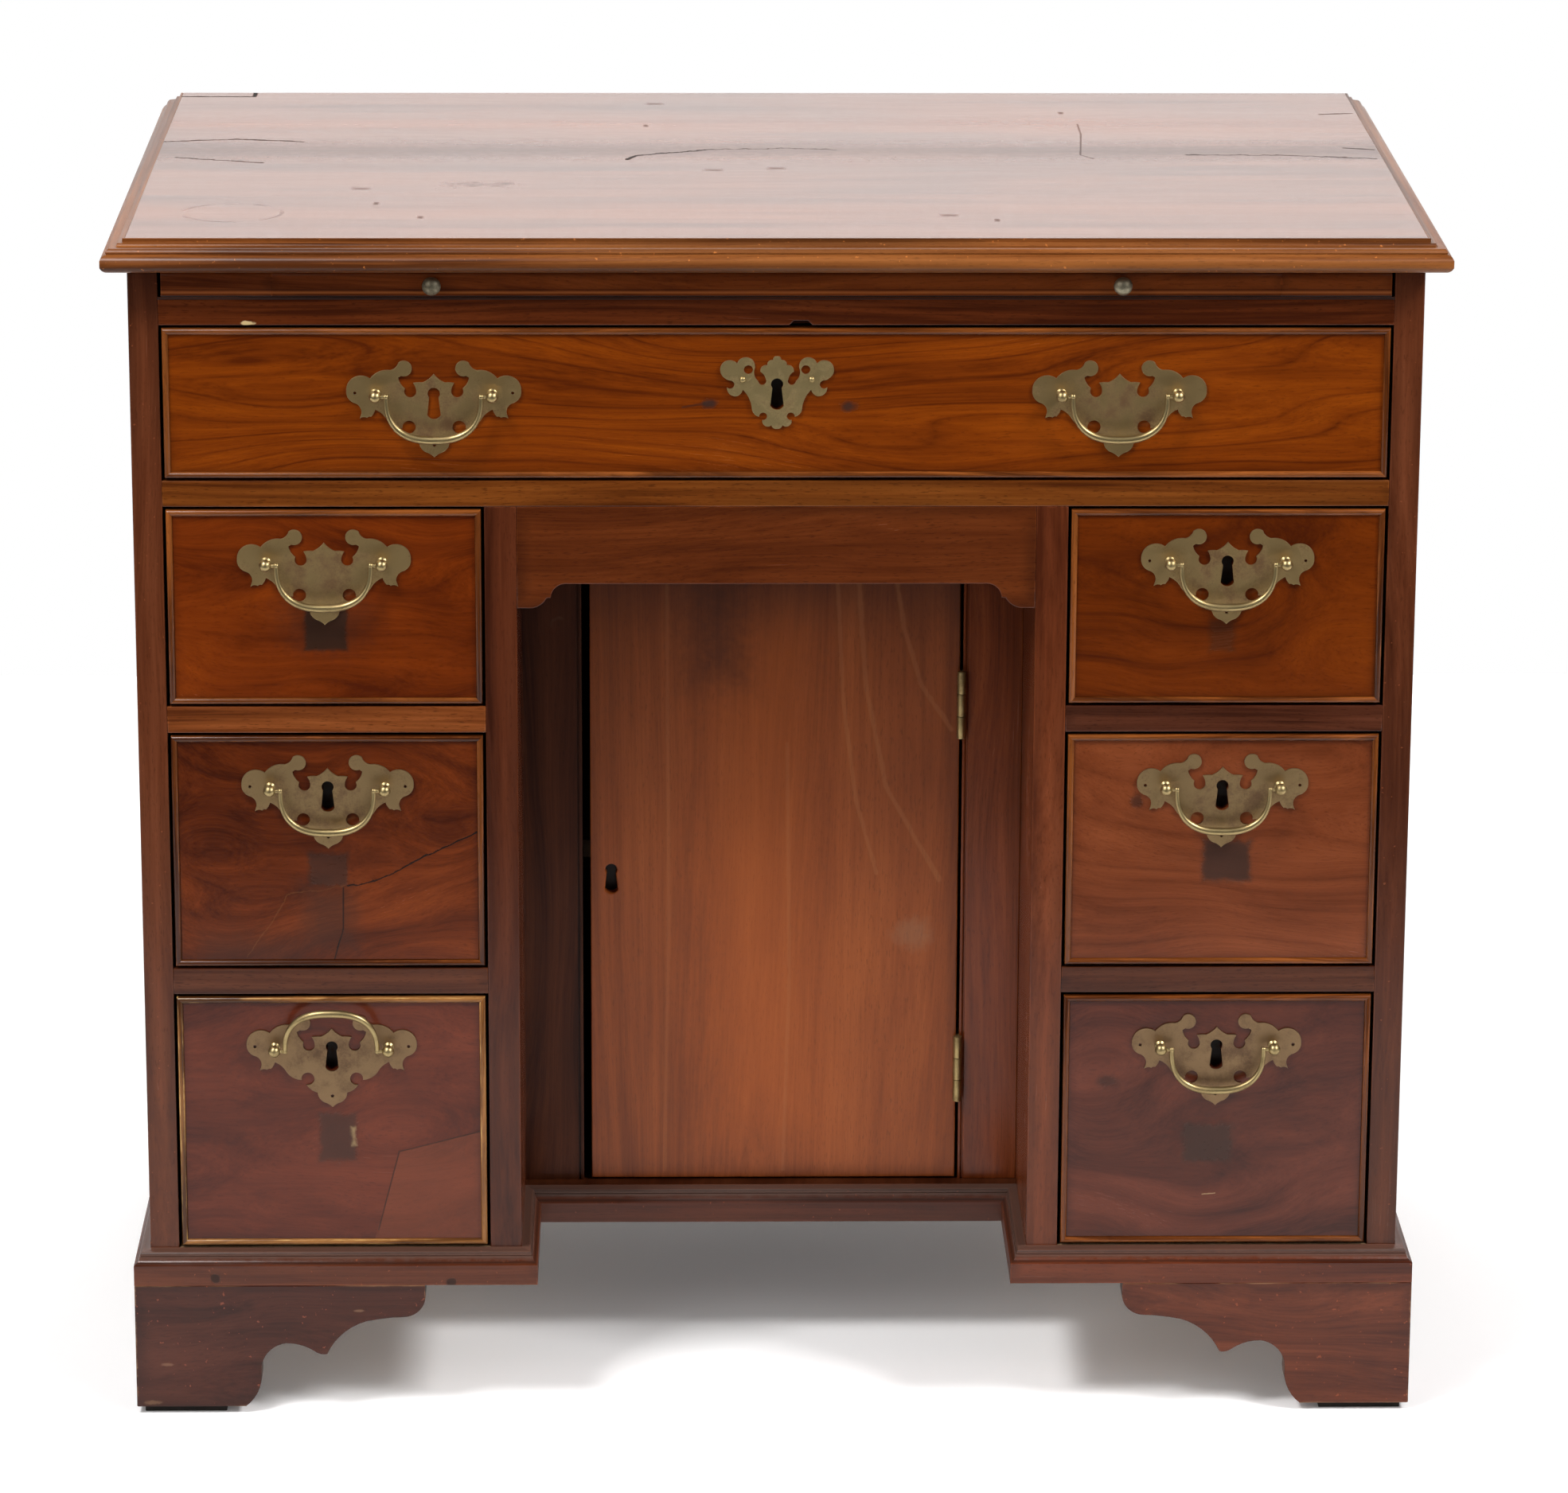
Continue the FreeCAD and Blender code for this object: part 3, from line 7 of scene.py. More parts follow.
import bmesh
import bpy
from mathutils import Matrix, Vector


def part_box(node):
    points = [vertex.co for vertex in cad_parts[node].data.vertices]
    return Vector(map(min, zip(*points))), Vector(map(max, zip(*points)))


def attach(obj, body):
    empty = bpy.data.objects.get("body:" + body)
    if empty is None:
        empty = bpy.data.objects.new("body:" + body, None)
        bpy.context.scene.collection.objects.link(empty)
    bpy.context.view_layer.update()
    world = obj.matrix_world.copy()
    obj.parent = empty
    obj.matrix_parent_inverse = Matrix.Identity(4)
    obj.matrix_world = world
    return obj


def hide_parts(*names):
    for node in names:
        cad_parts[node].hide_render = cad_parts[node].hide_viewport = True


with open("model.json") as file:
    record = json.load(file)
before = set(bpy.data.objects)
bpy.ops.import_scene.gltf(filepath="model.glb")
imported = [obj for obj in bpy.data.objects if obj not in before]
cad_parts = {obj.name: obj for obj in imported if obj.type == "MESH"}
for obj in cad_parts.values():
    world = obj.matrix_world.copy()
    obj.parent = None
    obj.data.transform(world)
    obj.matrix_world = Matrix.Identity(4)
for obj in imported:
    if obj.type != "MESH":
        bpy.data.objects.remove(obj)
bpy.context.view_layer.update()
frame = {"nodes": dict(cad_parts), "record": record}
nodes = frame["nodes"]
random.seed(7)

MM = 0.001
SHORT_DRAWERS = [(hand, number) for hand in ("left", "right") for number in (1, 2, 3)]
BODIES = frame["record"]["behaviour"]["bodies"]
JOINTS = frame["record"]["behaviour"]["joints"]


class Signal:
    """A number that changes over a surface or along a path; its arithmetic adds Math nodes."""

    def __init__(self, owner, socket):
        self.owner = owner
        self.socket = socket

    def math(self, operation, other=0, flip=False):
        """A Math node on this number and another, with the other one first if flipped."""
        pair = (other, self) if flip else (self, other)
        return self.owner.add("Math", {"operation": operation}, {0: pair[0], 1: pair[1]})

    def __add__(self, other):
        return self.math("ADD", other)

    def __radd__(self, other):
        return self.math("ADD", other, True)

    def __sub__(self, other):
        return self.math("SUBTRACT", other)

    def __rsub__(self, other):
        return self.math("SUBTRACT", other, True)

    def __mul__(self, other):
        return self.math("MULTIPLY", other)

    def __rmul__(self, other):
        return self.math("MULTIPLY", other, True)

    def __truediv__(self, other):
        return self.math("DIVIDE", other)

    def __abs__(self):
        return self.math("ABSOLUTE")

    def __neg__(self):
        return self.math("MULTIPLY", -1)

    def least(self, other):
        return self.math("MINIMUM", other)

    def most(self, other):
        return self.math("MAXIMUM", other)

    def power(self, exponent):
        return self.math("POWER", exponent)

    def fraction(self):
        return self.math("FRACT")

    def sine(self):
        return self.math("SINE")

    def cosine(self):
        return self.math("COSINE")

    def sign(self):
        return self.math("SIGN")

    def ramp(self, low, high, start=0.0, end=1.0):
        """An eased step from start to end as the signal goes from low to high."""
        if low > high:
            low, high, start, end = high, low, end, start
        sockets = {"Value": self, "From Min": low, "From Max": high, "To Min": start, "To Max": end}
        return self.owner.add("MapRange", {"interpolation_type": "SMOOTHSTEP"}, sockets)


class Nodes:
    """A node tree, with one way to add nodes to it."""

    def __init__(self, tree):
        self.tree = tree

    def add(self, kind, settings=None, sockets=None, out=0):
        """Adds a node, gives it its settings, then its sockets' values or links."""
        full = kind if kind.startswith(("GeometryNode", "NodeGroup")) else "ShaderNode" + kind
        node = self.tree.nodes.new(full)
        for name, setting in (settings or {}).items():
            if name == "stops":
                self.stops(node.color_ramp, setting)
            else:
                setattr(node, name, setting)
        for name, value in (sockets or {}).items():
            for link in value if isinstance(value, list) else [value]:
                if isinstance(link, Signal):
                    self.tree.links.new(link.socket, node.inputs[name])
                else:
                    node.inputs[name].default_value = link
        return Signal(self, node.outputs[out]) if len(node.outputs) else None

    def stops(self, ramp, stops):
        """Sets a colour ramp's stops, each a place and a colour."""
        for number, (place, colour) in enumerate(stops):
            stop = ramp.elements[number] if number < 2 else ramp.elements.new(place)
            stop.position = place
            stop.color = (*colour, 1)

    def vector(self, x, y, z):
        return self.add("CombineXYZ", sockets={0: x, 1: y, 2: z})


class Finish(Nodes):
    """A material."""

    def __init__(self, name):
        self.material = bpy.data.materials.new(name)
        self.material.use_nodes = True
        super().__init__(self.material.node_tree)
        self.tree.nodes.clear()
        self.output = self.tree.nodes.new("ShaderNodeOutputMaterial")

    def attribute(self, name):
        return self.add("Attribute", {"attribute_name": name}, out="Vector")

    def parts(self, vector):
        """The three numbers of a vector."""
        split = self.add("SeparateXYZ", sockets={0: vector}).socket.node
        return [Signal(self, output) for output in split.outputs]

    def place(self):
        return self.add("TexCoord", out="Object")

    def scaled(self, vector, scale):
        """A vector with its three numbers multiplied, each by its own factor."""
        return self.add("VectorMath", {"operation": "MULTIPLY"}, {0: vector, 1: scale})

    def noise(self, vector, scale, detail=3.0, roughness=0.5):
        """Noise from about 0 to 1, by its swings to the metre: one number, or one for each direction."""
        swings = scale if isinstance(scale, tuple) else (scale, scale, scale)
        sockets = {"Vector": self.scaled(vector, swings), "Scale": 1.0, "Detail": detail,
                   "Roughness": roughness}
        return self.add("TexNoise", {"normalize": True}, sockets)

    def mix(self, factor, first, second):
        """A colour between two colours."""
        def colour(value):
            return value if isinstance(value, Signal) else (*value, 1)
        return self.add("Mix", {"data_type": "RGBA", "blend_type": "MIX"},
                        {0: factor, 6: colour(first), 7: colour(second)}, out=2)

    def surface(self, sockets):
        """Ends the material in one Principled shader."""
        shader = self.add("BsdfPrincipled", sockets=sockets)
        self.tree.links.new(shader.socket, self.output.inputs["Surface"])
        return self.material

    def bump(self, height, distance):
        return self.add("Bump", sockets={"Height": height, "Distance": distance})


def board_edge(finish):
    """How far a point is from the nearest arris of its own board."""
    offset = finish.add("VectorMath", {"operation": "ABSOLUTE"}, {0: finish.attribute("board_place")})
    half = finish.attribute("board_half")
    inside = finish.add("VectorMath", {"operation": "SUBTRACT"}, {0: half, 1: offset})
    x, y, z = finish.parts(inside)
    return x + y + z - x.least(y).least(z) - x.most(y).most(z)


def toned(colour, factor):
    """A colour made lighter or darker."""
    return tuple(factor * part for part in colour)


def shades(red, green, blue, depth=0.45, lift=1.5):
    """The dark, the middle and the light tone of a wood, from its middle one."""
    dark = (depth * red, 0.85 * depth * green, 0.7 * depth * blue)
    light = (lift * red, 1.12 * lift * green, 1.25 * lift * blue)
    return dark, (red, green, blue), light


# Swings to the metre of each layer of a wood's figure: along the grain, across it and through the board
BAND = (1.3, 34.0, 34.0)
STRIP = (4.0, 170.0, 170.0)
FIBRE = (14.0, 560.0, 560.0)
PORE = (170.0, 1150.0, 1150.0)
CLOUD = (5.0, 9.0, 9.0)
RAGGED = (60.0, 260.0, 260.0)
SWELL = (3.0, 26.0, 26.0)
SPECK = 330.0
# How far grime and rubbing reach in from an arris, and the roughness of a dull mark
GRIME_REACH = 12 * MM
RUB_REACH = 2.2 * MM
RUB_HEART = 1.2 * MM
DULL_ROUGHNESS = 0.9


def wood(name, tones, swirl=(1.6, 9.0), flow=0.1, rings=10.0, lean=40.0, lines=0.1, bands=0.7, streak=0.4,
         fibres=0.3, pores=0.35, blotch=0.5, contrast=1.9, seed=0.0, rough=0.24, coat=0.05, shine=0.28,
         grime=0.5, worn=0.35, worn_tone=None, specks=0.0, wave=0.0, marks=()):
    """Polished wood: flowing figure, bands, fibre and pores along each board, with handled edges.

    Swirl, flow, rings and lean shape the figure, and lines to blotch weigh its layers. Rough, coat and shine
    are the polish, grime and worn the state of the arrises, and marks lie over it all.
    """
    dark, middle, light = tones
    finish = Finish(name)
    own_grain = finish.attribute("board_grain")
    grain = finish.add("VectorMath", {"operation": "ADD"}, {0: own_grain, 1: (seed, seed, 0)})
    along, across, deep = finish.parts(grain)
    turn = finish.noise(grain, (swirl[0], swirl[1], swirl[1]), 2.0, 0.45)
    bent = finish.vector(along, across + turn * flow, deep + turn * flow)
    ring = (turn * rings + across * lean).fraction()
    line = (abs(ring - 0.5) * 2).power(6.0)
    band = finish.noise(bent, BAND, 4.0, 0.55)
    strip = finish.noise(bent, STRIP, 3.0, 0.6)
    fibre = finish.noise(bent, FIBRE, 3.0, 0.6)
    pore = finish.noise(bent, PORE, 2.0, 0.5).ramp(0.56, 0.72)
    cloud = finish.noise(bent, CLOUD, 3.0, 0.55)
    tone = (band - 0.5) * bands + (strip - 0.5) * streak + (fibre - 0.5) * fibres + (cloud - 0.5) * blotch
    tone = 0.52 + tone * contrast - line * strip.ramp(0.3, 0.6) * lines
    colour = finish.add("ValToRGB", {"stops": [(0.15, dark), (0.85, light), (0.5, middle)]}, {0: tone})
    colour = finish.mix(pore * pores, colour, toned(dark, 0.8))
    edge = board_edge(finish)
    ragged = finish.noise(grain, RAGGED, 4.0, 0.65)
    dirt = edge.ramp(0.0, GRIME_REACH, 1.0, 0.0) * cloud.ramp(0.35, 0.65) * grime
    colour = finish.mix(dirt, colour, toned(dark, 0.5))
    rub = (edge + ragged * RUB_REACH).ramp(RUB_HEART, RUB_REACH, 1.0, 0.0) * strip.ramp(0.4, 0.6) * worn
    colour = finish.mix(rub, colour, worn_tone or toned(light, 1.4))
    if specks:
        speck = finish.noise(finish.place(), SPECK, 2.0, 0.5).ramp(0.70, 0.745)
        colour = finish.mix(speck * specks, colour, toned(light, 2.6))
    roughness = rough + (fibre - 0.5) * 0.1 + (cloud - 0.5) * 0.12
    gloss = coat
    for mask, shade, strength, dulling in marks:
        scar = mask(finish) * strength
        colour = finish.mix(scar, colour, shade)
        roughness = roughness + scar * dulling * (DULL_ROUGHNESS - roughness)
        gloss = gloss * (1 - scar * dulling) if coat else coat
    sockets = {"Base Color": colour, "Roughness": roughness, "Coat Weight": gloss, "Coat Roughness": 0.14,
               "Specular IOR Level": shine}
    if wave:
        sockets["Normal"] = finish.bump(finish.noise(grain, SWELL, 2.0, 0.5), wave)
    return finish.surface(sockets)


def brass(name, bright, tarnish, rough, patina, seed, heart=0.0):
    """Old brass: brown tarnish in soft clouds and specks, and over a plate's middle, on a yellow metal."""
    finish = Finish(name)
    place = finish.add("VectorMath", {"operation": "ADD"}, {0: finish.place(), 1: (seed, 0, 0)})
    cloud = finish.noise(place, 70.0, 4.0, 0.55)
    speck = finish.noise(place, 800.0, 3.0, 0.6)
    dull = cloud + (speck - 0.5) * 0.25
    if heart:
        share = finish.add("VectorMath", {"operation": "DIVIDE"},
                           {0: finish.attribute("board_place"), 1: finish.attribute("board_half")})
        along, across, _ = finish.parts(share)
        reach = (along * along + across * across).power(0.5)
        dull = dull + (0.5 - reach.ramp(0.35, 0.95)) * heart
    dull = dull.ramp(0.66 - 0.4 * patina, 0.9 - 0.2 * patina)
    colour = finish.mix(dull, bright, tarnish)
    colour = finish.mix(speck.ramp(0.66, 0.78) * 0.5, colour, toned(tarnish, 0.5))
    roughness = rough + dull * 0.14 + (speck - 0.5) * 0.1
    return finish.surface({"Base Color": colour, "Roughness": roughness, "Metallic": 1.0 - dull * 0.2})


RUST = (0.040, 0.018, 0.010)


def plain_metal(name, tone, rough):
    """Dull iron with a little rust."""
    finish = Finish(name)
    cloud = finish.noise(finish.place(), 120.0, 5.0, 0.65)
    colour = finish.mix(cloud.ramp(0.5, 0.72), tone, RUST)
    return finish.surface({"Base Color": colour, "Roughness": rough + (cloud - 0.5) * 0.2, "Metallic": 0.9})


def patch(centre, size, soft=0.001, ragged=0.002, level=False):
    """A soft-edged rectangle on an upright face, or on a level one, by its middle and its two sizes."""
    def mask(finish):
        place = finish.place()
        x, y, z = finish.parts(place)
        wobble = (finish.noise(place, 160.0, 3.0, 0.6) - 0.5) * ragged
        side = abs(x - centre[0]) - size[0] / 2 + wobble
        rise = abs((y if level else z) - centre[1]) - size[1] / 2 + wobble
        return side.most(rise).ramp(-soft, soft, 1.0, 0.0)
    return mask


def crack(points, width, ragged=0.002, level=False):
    """A thin wandering line through points on an upright face, or on a level one."""
    def mask(finish):
        place = finish.place()
        x, y, z = finish.parts(place)
        wander = finish.noise(place, 90.0, 4.0, 0.65) - 0.5
        rise = (y if level else z) + wander * ragged
        nearest = None
        for (x0, z0), (x1, z1) in zip(points, points[1:]):
            run, climb = x1 - x0, z1 - z0
            share = ((x - x0) * run + (rise - z0) * climb) / (run * run + climb * climb)
            share = share.most(0).least(1)
            side = x - x0 - share * run
            high = rise - z0 - share * climb
            off = (side * side + high * high).power(0.5)
            nearest = nearest.least(off) if nearest else off
        return (nearest + (wander + 0.1).most(0) * width).ramp(0.4 * width, width, 1.0, 0.0)
    return mask


def front_line(level, height):
    """A thin level line along the front edge of a board that is flush with the carcass."""
    line = patch((0.0, level), (2.0, height), 0.5 * MM, 0.0)
    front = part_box("front_rails")[0].y

    def mask(finish):
        _, y, _ = finish.parts(finish.place())
        return line(finish) * y.ramp(front + 4 * MM, front + 5 * MM, 1.0, 0.0)
    return mask


def ring_mark(centre, half, width, level=False):
    """A faint oval ring, such as a cup leaves."""
    def mask(finish):
        place = finish.place()
        x, y, z = finish.parts(place)
        side = (x - centre[0]) / half[0]
        rise = ((y if level else z) - centre[1]) / half[1]
        off = abs((side * side + rise * rise).power(0.5) - 1)
        broken = finish.noise(place, 40.0, 3.0, 0.6).ramp(0.42, 0.6)
        return off.ramp(0.3 * width, width, 1.0, 0.0) * broken
    return mask


def corner_piece(left_foot, left_head, right_head):
    """A let-in piece of veneer: right of a slanting joint and under another."""
    def mask(finish):
        x, _, z = finish.parts(finish.place())
        lean = (left_head[0] - left_foot[0]) / (left_head[1] - left_foot[1])
        slope = (right_head[1] - left_head[1]) / (right_head[0] - left_head[0])
        beside = x - left_head[0] - (z - left_head[1]) * lean
        under = left_head[1] + (x - left_head[0]) * slope - z
        return beside.least(under).ramp(-0.0004, 0.0004)
    return mask


def blotch_mark(centre, half, soft=0.6):
    """A round soft blotch with a ragged edge, on an upright face."""
    def mask(finish):
        place = finish.place()
        x, _, z = finish.parts(place)
        side = (x - centre[0]) / half[0]
        rise = (z - centre[1]) / half[1]
        ragged = (finish.noise(place, 220.0, 3.0, 0.6) - 0.5) * 1.2
        return ((side * side + rise * rise).power(0.5) + ragged).ramp(1 - soft, 1 + soft, 1.0, 0.0)
    return mask


def wedge_pairs(corners, low, high, around):
    """Pairs the triangles at an edge that boards share, each pair with one board's wood between its two."""
    axis = (corners[high] - corners[low]).normalized()
    side = axis.orthogonal().normalized()
    other = axis.cross(side)
    starts = []
    ends = []
    for number, far, forward in around:
        reach = corners[far] - corners[low]
        angle = math.atan2(reach.dot(other), reach.dot(side))
        (ends if forward else starts).append((angle, number))
    pairs = []
    for angle, number in starts:
        turns = [((end - angle) % math.tau, mate) for end, mate in ends]
        turns = [turn for turn in turns if 1e-3 < turn[0] < math.tau - 1e-3]
        if turns:
            pairs.append((number, min(turns)[1]))
    return pairs


def solids_of(mesh):
    """The separate boards in a CAD mesh: all corner points, and each board's triangles."""
    mesh.calc_loop_triangles()
    number_of = {}
    corners = []
    triangles = []
    for triangle in mesh.loop_triangles:
        ids = []
        for index in triangle.vertices:
            point = mesh.vertices[index].co
            key = tuple(round(part * 1e6) for part in point)
            if key not in number_of:
                number_of[key] = len(corners)
                corners.append(point.copy())
            ids.append(number_of[key])
        if len(set(ids)) == 3:
            triangles.append(ids)
    beside = {}
    for number, (a, b, c) in enumerate(triangles):
        for start, end, far in ((a, b, c), (b, c, a), (c, a, b)):
            edge = (min(start, end), max(start, end))
            beside.setdefault(edge, []).append((number, far, start < end))
    group = list(range(len(triangles)))

    def root(number):
        while group[number] != number:
            group[number] = group[group[number]]
            number = group[number]
        return number

    for (low, high), around in beside.items():
        if len(around) == 2:
            pairs = [(around[0][0], around[1][0])]
        else:
            pairs = wedge_pairs(corners, low, high, around)
        for first, second in pairs:
            group[root(first)] = root(second)
    found = {}
    for number, ids in enumerate(triangles):
        found.setdefault(root(number), []).append(ids)
    return corners, list(found.values())


# When a face of a rounded board still lies on a flat face of the CAD board
SAME_FACING = 0.99995
SAME_LEVEL = 0.02 * MM


def rounded_board(corners, triangles, arris):
    """One board with soft arrises, its flat faces told from its curved ones; nothing for a mere sheet."""
    build = bmesh.new()
    made = {}
    for ids in triangles:
        for number in ids:
            if number not in made:
                made[number] = build.verts.new(corners[number])
    for ids in triangles:
        try:
            build.faces.new([made[number] for number in ids])
        except ValueError:
            continue
    points = [vert.co for vert in build.verts]
    low = Vector(min(point[axis] for point in points) for axis in range(3))
    high = Vector(max(point[axis] for point in points) for axis in range(3))
    if min(high - low) < 1e-5:
        build.free()
        return None
    open_edges = [edge for edge in build.edges if edge.is_boundary]
    if open_edges:
        bmesh.ops.holes_fill(build, edges=open_edges, sides=0)
    bmesh.ops.recalc_face_normals(build, faces=build.faces)
    bmesh.ops.dissolve_limit(build, angle_limit=math.radians(0.6), verts=build.verts, edges=build.edges)
    flat_planes = []
    for face in build.faces:
        turns = [math.degrees(edge.calc_face_angle(0.0)) for edge in face.edges
                 if len(edge.link_faces) == 2]
        if not any(1 < turn < 35 for turn in turns):
            flat_planes.append((face.normal.copy(), face.normal.dot(face.verts[0].co)))
    if arris:
        sharp = [edge for edge in build.edges
                 if len(edge.link_faces) == 2 and edge.calc_face_angle() > math.radians(50)]
        bmesh.ops.bevel(build, geom=sharp, offset=arris, segments=2, profile=0.6, affect="EDGES",
                        clamp_overlap=True)
        build.normal_update()
    for face in build.faces:
        middle = face.calc_center_median()
        face.smooth = not any(face.normal.dot(normal) > SAME_FACING
                              and abs(normal.dot(middle) - level) < SAME_LEVEL
                              for normal, level in flat_planes)
    return build, low, high


def dress(piece, node):
    """Puts a piece in the scene in place of a CAD node, on that node's body."""
    bpy.context.scene.collection.objects.link(piece)
    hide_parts(node)
    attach(piece, next(body for body, members in BODIES.items() if node in members))


def softened(node, finishes, arris=0.5 * MM, pick=None, along=None):
    """Replaces a node of boards by the same boards with soft arrises, each with its own grain."""
    corners, groups = solids_of(nodes[node].data)
    whole = bmesh.new()
    grain = whole.verts.layers.float_vector.new("board_grain")
    place = whole.verts.layers.float_vector.new("board_place")
    size = whole.verts.layers.float_vector.new("board_half")
    for triangles in groups:
        made = rounded_board(corners, triangles, arris)
        if made is None:
            continue
        board, low, high = made
        extent = high - low
        middle = (low + high) / 2
        order = along or sorted(range(3), key=lambda axis: -extent[axis])
        shift = Vector() if along else Vector(random.uniform(0, 9) for _ in range(3))
        slot = pick(middle, extent) if pick else 0
        copies = {}
        for vert in board.verts:
            copy = whole.verts.new(vert.co)
            copy[grain] = Vector(vert.co[axis] for axis in order) + shift
            copy[place] = Vector(vert.co[axis] - middle[axis] for axis in order)
            copy[size] = Vector(extent[axis] / 2 for axis in order)
            copies[vert] = copy
        for face in board.faces:
            made_face = whole.faces.new([copies[vert] for vert in face.verts])
            made_face.material_index = slot
            made_face.smooth = face.smooth
        board.free()
    mesh = bpy.data.meshes.new(node + "_looks")
    whole.to_mesh(mesh)
    whole.free()
    smooth = [face.use_smooth for face in mesh.polygons]
    mesh.set_sharp_from_angle(angle=math.radians(32))
    mesh.polygons.foreach_set("use_smooth", smooth)
    for finish in finishes:
        mesh.materials.append(finish)
    dress(bpy.data.objects.new(mesh.name, mesh), node)


BAIL_SHAPE = {"Half Width": 30 * MM, "Depth": 28.2 * MM, "End Radius": 1.5 * MM, "Grip Radius": 2.6 * MM,
              "Pin Radius": 1.2 * MM}
BAIL_LIFT = math.radians(168)
BAIL_SQUARENESS = 0.78
BAIL_POINTS = 65
BAR_SIDES = 18


def bail_path():
    """The tree of a bail: a bar on a squared half-ellipse that swells to its grip, with elbows and pins."""
    tree = bpy.data.node_groups.new("bail_path", "GeometryNodeTree")
    tree.interface.new_socket("Bail", in_out="OUTPUT", socket_type="NodeSocketGeometry")
    kinds = {"Half Width": "Float", "Depth": "Float", "End Radius": "Float", "Grip Radius": "Float",
             "Pin Radius": "Float", "Pin Length": "Float", "Place": "Vector", "Turn": "Rotation",
             "Finish": "Material"}
    for name, kind in kinds.items():
        tree.interface.new_socket(name, in_out="INPUT", socket_type="NodeSocket" + kind)
    path = Nodes(tree)
    entry = tree.nodes.new("NodeGroupInput")
    half_width, depth, slim, grip, pin_radius, pin_length, place, turn, finish = (
        Signal(path, entry.outputs[name]) for name in kinds)

    def shape(kind, **sockets):
        named = {name.replace("_", " "): value for name, value in sockets.items()}
        return path.add("GeometryNode" + kind, sockets=named)

    line = shape("ResampleCurve", Curve=shape("CurvePrimitiveLine", End=(1, 0, 0)), Count=BAIL_POINTS)
    angle = shape("SplineParameter") * math.pi
    sweep_side = angle.cosine()
    sweep_drop = angle.sine().most(0)
    across = -(sweep_side.sign() * abs(sweep_side).power(BAIL_SQUARENESS) * half_width)
    down = -(sweep_drop.power(BAIL_SQUARENESS) * depth)
    line = shape("SetPosition", Geometry=line, Position=path.vector(across, 0.0, down))
    swell = slim + (grip - slim) * sweep_drop * sweep_drop
    circle = shape("CurvePrimitiveCircle", Resolution=BAR_SIDES, Radius=1.0)
    bar = shape("CurveToMesh", Curve=line, Profile_Curve=circle, Scale=swell, Fill_Caps=True)

    def at_both_ends(reach, piece, turned=(0, 0, 0)):
        ends = shape("MeshLine", Count=2, Start_Location=path.vector(-reach, 0.0, 0.0),
                     Offset=path.vector(reach * 2, 0.0, 0.0))
        return shape("InstanceOnPoints", Points=ends, Instance=piece, Rotation=turned)

    ball = shape("MeshUVSphere", Segments=BAR_SIDES, Rings=10, Radius=slim * 1.2)
    rod = shape("MeshCylinder", Vertices=16, Radius=pin_radius, Depth=pin_length)
    elbows = at_both_ends(half_width, ball)
    pins = at_both_ends(half_width + pin_length * 0.5, rod, (0, math.radians(90), 0))
    whole = shape("JoinGeometry", Geometry=[bar, elbows, pins])
    whole = shape("Transform", Geometry=whole, Translation=place, Rotation=turn)
    whole = shape("SetShadeSmooth", Geometry=whole)
    whole = shape("RealizeInstances", Geometry=whole)
    whole = shape("SetMaterial", Geometry=whole, Material=finish)
    path.add("NodeGroupOutput", sockets={0: whole})
    return tree


def bail(node, tree, finish):
    """One bail from the tree, hung on its own joint and turned as its CAD node rests."""
    joint = next(joint for joint in JOINTS if joint["child"] == node)
    low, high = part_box(node)
    pin_level = joint["pos_m"][2]
    raised = high.z - pin_level > pin_level - low.z
    blank = bpy.data.objects.new(node + "_blank", bpy.data.meshes.new(node + "_blank"))
    bpy.context.scene.collection.objects.link(blank)
    follow = blank.modifiers.new("path", "NODES")
    follow.node_group = tree
    pin_length = (high.x - low.x) / 2 - BAIL_SHAPE["Half Width"]
    values = {**BAIL_SHAPE, "Pin Length": pin_length, "Place": joint["pos_m"],
              "Turn": (-BAIL_LIFT if raised else 0.0, 0.0, 0.0), "Finish": finish}
    for socket in tree.interface.items_tree:
        if socket.name in values:
            follow[socket.identifier] = values[socket.name]
    scene_state = bpy.context.evaluated_depsgraph_get()
    mesh = bpy.data.meshes.new_from_object(blank.evaluated_get(scene_state))
    mesh.name = node + "_looks"
    bpy.data.objects.remove(blank)
    mesh.set_sharp_from_angle(angle=math.radians(40))
    dress(bpy.data.objects.new(mesh.name, mesh), node)


# Shades of the marks and of wood that is worn bare, and of painted shade, a painted shadow and a painted
# highlight
# Near-black of cracks, dents, plugs and knots, and also of painted shade lines in gaps and grooves
INK_AND_SHADE = (0.012, 0.005, 0.003)
CHIP = (0.62, 0.46, 0.22)
GREY = (0.10, 0.085, 0.085)
BLOOM = (0.13, 0.085, 0.075)
FADED_BACK = (0.30, 0.10, 0.05)
FADED_FRONT = (0.30, 0.105, 0.05)
LIP_GRIME = (0.030, 0.011, 0.003)
LIP_SMEAR = (0.035, 0.013, 0.003)
# Painted highlight: a light line along the slide's front that stands for the lit edge of a bead
PAINTED_BEAD_HIGHLIGHT = (0.34, 0.105, 0.026)
OLD_GLUE = (0.030, 0.013, 0.008)
BLACK_GLUE = (0.014, 0.007, 0.003)
FAINT_GLUE = (0.045, 0.012, 0.003)
# A dark stain, and also the colour of the painted shadow of the apron on the door
STAIN_AND_SHADE = (0.05, 0.012, 0.004)
WARM_HEART = (0.46, 0.100, 0.010)
PALE_LINE = (0.42, 0.16, 0.05)
HAIR_LINE = (0.15, 0.060, 0.018)
RUBBED = (0.30, 0.16, 0.09)
LET_IN = (0.17, 0.045, 0.017)
PLUG_RIM = (0.11, 0.055, 0.03)
WORN_FOOT = (0.26, 0.14, 0.07)
BARE_FOOT = (0.30, 0.16, 0.08)
BARE_BEAD = (0.62, 0.38, 0.13)
DUST = (0.115, 0.078, 0.062)


def spots(centres, size, shade, strength):
    """Small dents at points of a level face."""
    soft, ragged = 0.4 * size[0], 0.5 * size[0]
    return [(patch(centre, size, soft, ragged, True), shade, strength, 1.0) for centre in centres]


